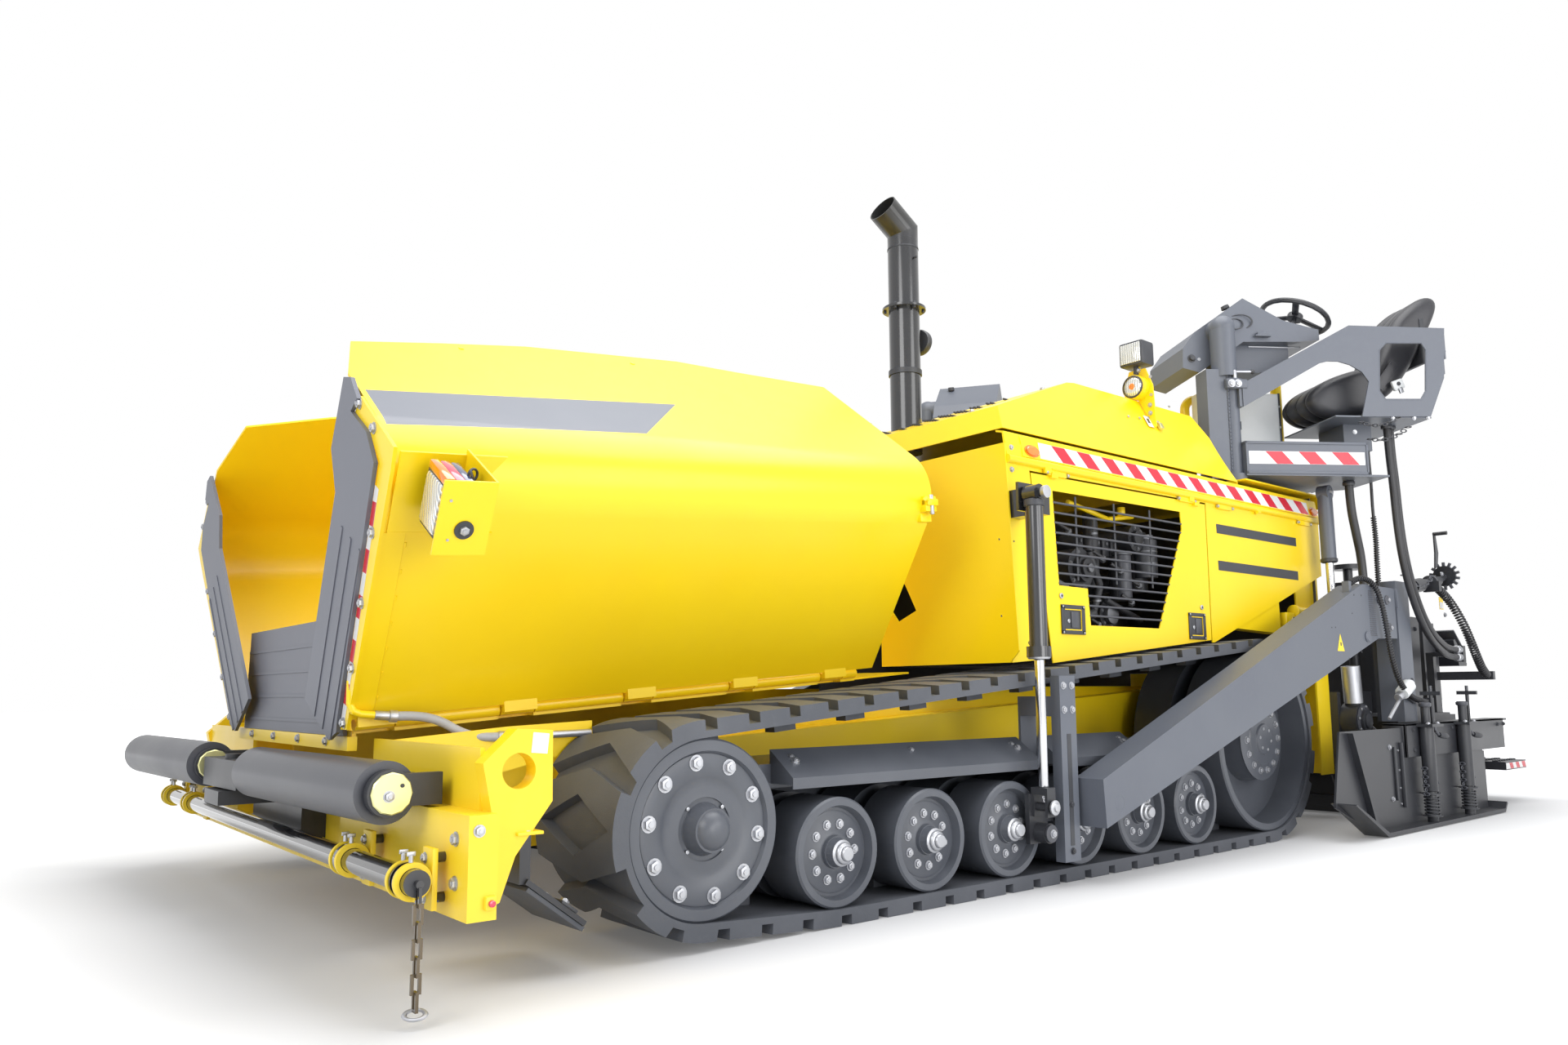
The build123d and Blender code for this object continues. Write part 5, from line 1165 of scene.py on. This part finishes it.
mounting.block((-12, -18, -52), (12, -6, -20), zinc, edge=3)
mounting.rod((0, -15, 2), (0, -17, 2), 11, lamp_housing, sides=20)
mounting.base = station_place @ Matrix.Translation((950, 66, 2420)) @ Matrix.Rotation(math.radians(38), 4, "Y")
mounting.block((-26, -6, -90), (26, -2, 90), seat_vinyl, edge=1)
mounting.done("seat_mounting", "station", "seat_vinyl", twin=True)

# ---- screed --------------------------------------------------------------------------------------
# Black painted fabrications. The end gates' plates, skis and beams ride on sprung jacks with loose
# chains and crank handles, and the steps at the rear have cleated treads with taped ends.
gate = Shape()
gate_side = squared((0, 1534, 0), (-1, 0, 0), (0, 0, 1))
gate.slab([(3010, 513), (2925, 181), (2925, 160), (3290, 24), (4870, 24), (4870, 340), (4640, 513)], 10, gate_side,
          black_paint)
gate.slab([(2941, 178), (2953, 182), (3290, 24), (4880, 24), (4913, 60), (4925, 50), (4880, 4), (3280, 4)], 117,
          gate_side @ Matrix.Translation((0, 0, -22)), black_paint)
gate.slab([(3300, 24), (3330, 24), (3095, 500), (3085, 505)], 40, gate_side, black_paint)
gate.block((-3740, 1444, 521), (-5240, 1560, 533), black_paint, edge=2)
gate.block((-3740, 1548, 360), (-5180, 1560, 533), black_paint, edge=2)
gate.block((-3740, 1444, 360), (-3752, 1560, 533), black_paint, edge=2)
for z0, z1, r, sides in ((20, 200, 26, 28), (180, 520, 34, 32), (520, 620, 22, 28)):
    gate.rod((-3920, 1594, z0), (-3920, 1594, z1), r, black_paint, sides=sides, edge=2)
gate.done("end_gate_plates", "screed", "black_paint", twin=True)

gear = Shape()
for x in (-3920, -4440):
    for i in range(6):
        gear.ring((x, 1594, 62 + 17 * i), (0.05, 0.1, 1), 34, 4.5, lamp_housing)
    gear.collar(26, 46, 5, (x, 1594, 52), (0, 0, 1), lamp_housing, 28)
    gear.collar(34, 48, 6, (x, 1594, 166), (0, 0, 1), lamp_housing, 28)
    for i in range(11):
        drop = 330 - 22 * i
        gear.ring((x - 62 - 4 * (i % 2), 1588 + 3 * (i % 3), drop), (1, 0, 0.1) if i % 2 else (0, 1, 0.1), 8, 2.8,
                  roller_grey, squash=1.6)
    for i in range(7):
        gear.ring((x + 52 + 3 * (i % 2), 1590, 300 - 22 * i), (0, 1, 0) if i % 2 else (1, 0, 0), 8, 2.8,
                  roller_grey, squash=1.6)
    gear.turned([(0, 0), (26, 0), (30, 5), (30, 18), (22, 24), (0, 24)], (x, 1594, 620), (0, 0, 1), roller_grey, 24)
    gear.rod((x - 90, 1594, 686), (x - 90, 1594, 730), 8, roller_grey, sides=14)
    for bx in (x - 96, x + 30):
        gear.bolt((bx, 1614, 530), (0, 0, 1), 20, zinc)
# crank handles with their grips in front of the beam
for x, z in ((-4064, 640), (-4560, 628)):
    gear.rod((x, 1566, z), (x, 1584, z - 150), 8, roller_grey, sides=12)
    gear.rod((x, 1584, z - 150), (x - 20, 1592, z - 172), 8, roller_grey, sides=12)
    gear.turned([(0, 0), (13, 4), (17, 26), (15, 58), (9, 70), (0, 72)], (x - 20, 1592, z - 172), (-1, 0.3, -0.15),
                lamp_housing, 20)
for x, z in ((-4360, 500), (-5080, 500), (-3830, 395), (-3830, 500), (-5180, 500)):
    gear.bolt((x, 1560, z), outward, 18, lamp_housing)
for z in (160, 420):
    gear.bolt((-3560, 1545, z), outward, 20, zinc)
for z in (130, 210, 300, 400):
    gear.rod((-3660, 1544, z), (-3660, 1549, z), 5, zinc, sides=12)
gear.block((-3600, 1545, 150), (-3612, 1556, 420), lamp_housing, edge=3)
gear.block((-3680, 1545, 110), (-3692, 1562, 440), lamp_housing, edge=3)
gear.bolt((-3235, 1545, 60), outward, 22, zinc)
for x in (-4700, -4860):
    for z in (100, 300):
        gear.rod((x, 1506, z), (x, 1510, z), 7, zinc, sides=14)
for bx, bz in round_of(8, 76, -3800, 545, 0.2):
    gear.bolt((bx, 1330, bz), outward, 16, lamp_housing)
gear.done("gate_jacks_and_chains", "screed", "black_paint", twin=True)

# auger motor's flange, its silver canister and a hose fitting
motor = Shape()
motor.turned([(45.3, 0), (47, 1), (47, 200), (45.3, 201), (45.3, 0)], (-3784, 1290, 640), (0.07, 0, 1), zinc, 36)
motor.turned([(60, 0), (84, 0), (88, 4), (60, 8), (60, 0)], (-3800, 1330, 545), outward, roller_grey, 40)
for bx, bz in round_of(8, 76, -3800, 545, 0.2):
    motor.bolt((bx, 1337, bz), outward, 15, zinc, washer=False)
motor.turned([(0, 0), (40, 0), (40, 8), (18, 12), (0, 12)], (-3800, 1352, 545), outward, lamp_housing, 32)
motor.rod((-3850, 1338, 520), (-3960, 1338, 470), 9, zinc, sides=14)
motor.done("auger_motor_fittings", "tractor", "black_paint", twin=True)

tower = Shape()
for side in (1, -1):
    y = 1434 * side
    crank = Matrix.Translation((-4803, y, 1386)) @ Matrix.Rotation(-math.pi / 2 + 0.05, 4, "Y")
    for i in range(14):
        tower.base = crank @ Matrix.Rotation(2 * math.pi * i / 14, 4, "Z")
        tower.block((56, -8, -6), (84, 8, 6), roller_grey, edge=2)
    tower.base = Matrix()
    tower.collar(27, 44, 12, (-4560, y, 1331), (-0.99, 0, 0.146), roller_grey, 28)
    for z in (1394, 1150):
        tower.bolt((-4740, y + 6 * side, z), (0, side, 0), 22, zinc)
    for x, z in ((-4270, 1040), (-4350, 620), (-4460, 620), (-4460, 1060)):
        tower.bolt((x, 1374.5 * side, z), (0, side, 0), 22, lamp_housing)
    # chain over the thickness screw
    for i in range(15):
        s = i / 14
        tower.ring((-4120 - 400 * s, (1466 + 3 * (i % 2)) * side, 1346 - 60 * (1 - (2 * s - 1) ** 2) + 20 * s),
                   (0, 1, 0.3) if i % 2 else (0.3, 0.2, 1), 10, 3.2, roller_grey, squash=1.6)
    tower.block((-5330, 1182 * side, 1010), (-5140, 1338 * side, 1022), lamp_housing, edge=4,
                turn=Matrix.Rotation(math.radians(-39), 4, "Y"))
    for k in range(4):
        for j in range(3):
            tower.base = Matrix.Translation((-5295 + 40 * k, (1212 + 44 * j) * side, 908 + 33 * k))
            tower.rod((0, 0, 0), (-6, 0, 9), 9, (roller_grey, red_lens, yellow_paint)[(k + j) % 3], sides=16, edge=2)
    tower.base = Matrix()
for x, y, z, wide, high, skin in ((-4666, 1440.3, 1180, 62, 74, yellow_paint),
                                  (-4671, 1441.2, 1185, 52, 38, tape_white), (-4300, 1374.9, 716, 64, 84, tape_white)):
    tower.slab([(0, 0), (wide, 0), (wide, high), (0, high)], 0.9, squared((x, y, z), (-1, 0, 0), (0, 0, 1)), skin)
for z in (897, 942):
    tower.turned([(18, 0), (24, 0), (24, 40), (18, 44), (18, 0)], (-4782, 1485, z), (1, 0, 0), zinc, 24)
# grade sensor on its arm, with a plated body
tower.turned([(0, 0), (32, 0), (36, 5), (36, 88), (30, 94), (22, 112), (0, 116)], (-3850, 1512, 690), (-0.85, 0.1, 0.5),
             white_panel, 36)
tower.turned([(0, 0), (22, 0), (24, 4), (20, 34), (0, 36)], (-3838, 1511, 684), (0.85, -0.1, -0.5), zinc, 28)
tower.rod((-3700, 1500, 560), (-3860, 1508, 680), 9, zinc, sides=16)
tower.rod((-3886, 1510, 690), (-4040, 1500, 640), 9, roller_grey, sides=12)
tower.rod((-3950, 1516, 748), (-3985, 1518, 765), 8, lamp_housing, sides=12)
tower.done("screed_fittings", "screed", "black_paint")

steps = Shape()
for y0, y1, x0, x1, z0, z1 in ((1400, 1401, -5540, -5204, 374, 410), (1480, 1481, -5786, -5424, 208, 252)):
    for side in (1, -1):
        place = squared((x1, y1 * side, z0 + 3), (-1, 0, 0), (0, 0, 1)) if side > 0 else (
            squared((x0, -y1, z0 + 3), (1, 0, 0), (0, 0, 1)))
        steps.tape(place, x1 - x0, z1 - z0 - 6, 112, 22, tape_white, tape_red)
for x0, z, half, count in ((-5215, 412, 1380, 7), (-5435, 255, 1460, 8)):
    for i in range(count):
        for k in range(34):
            y = -half + 2 * half * (k + 0.5) / 34
            steps.block((x0 - 44 * i - 14, y - 16, z - 1), (x0 - 44 * i, y + 16, z + 7), lamp_housing, edge=0)
for side in (1, -1):
    steps.rod((-5776, 1450 * side, 230), (-5788, 1450 * side, 230), 14, red_lens, sides=20, edge=2)
steps.done("step_treads", "screed", "black_paint")
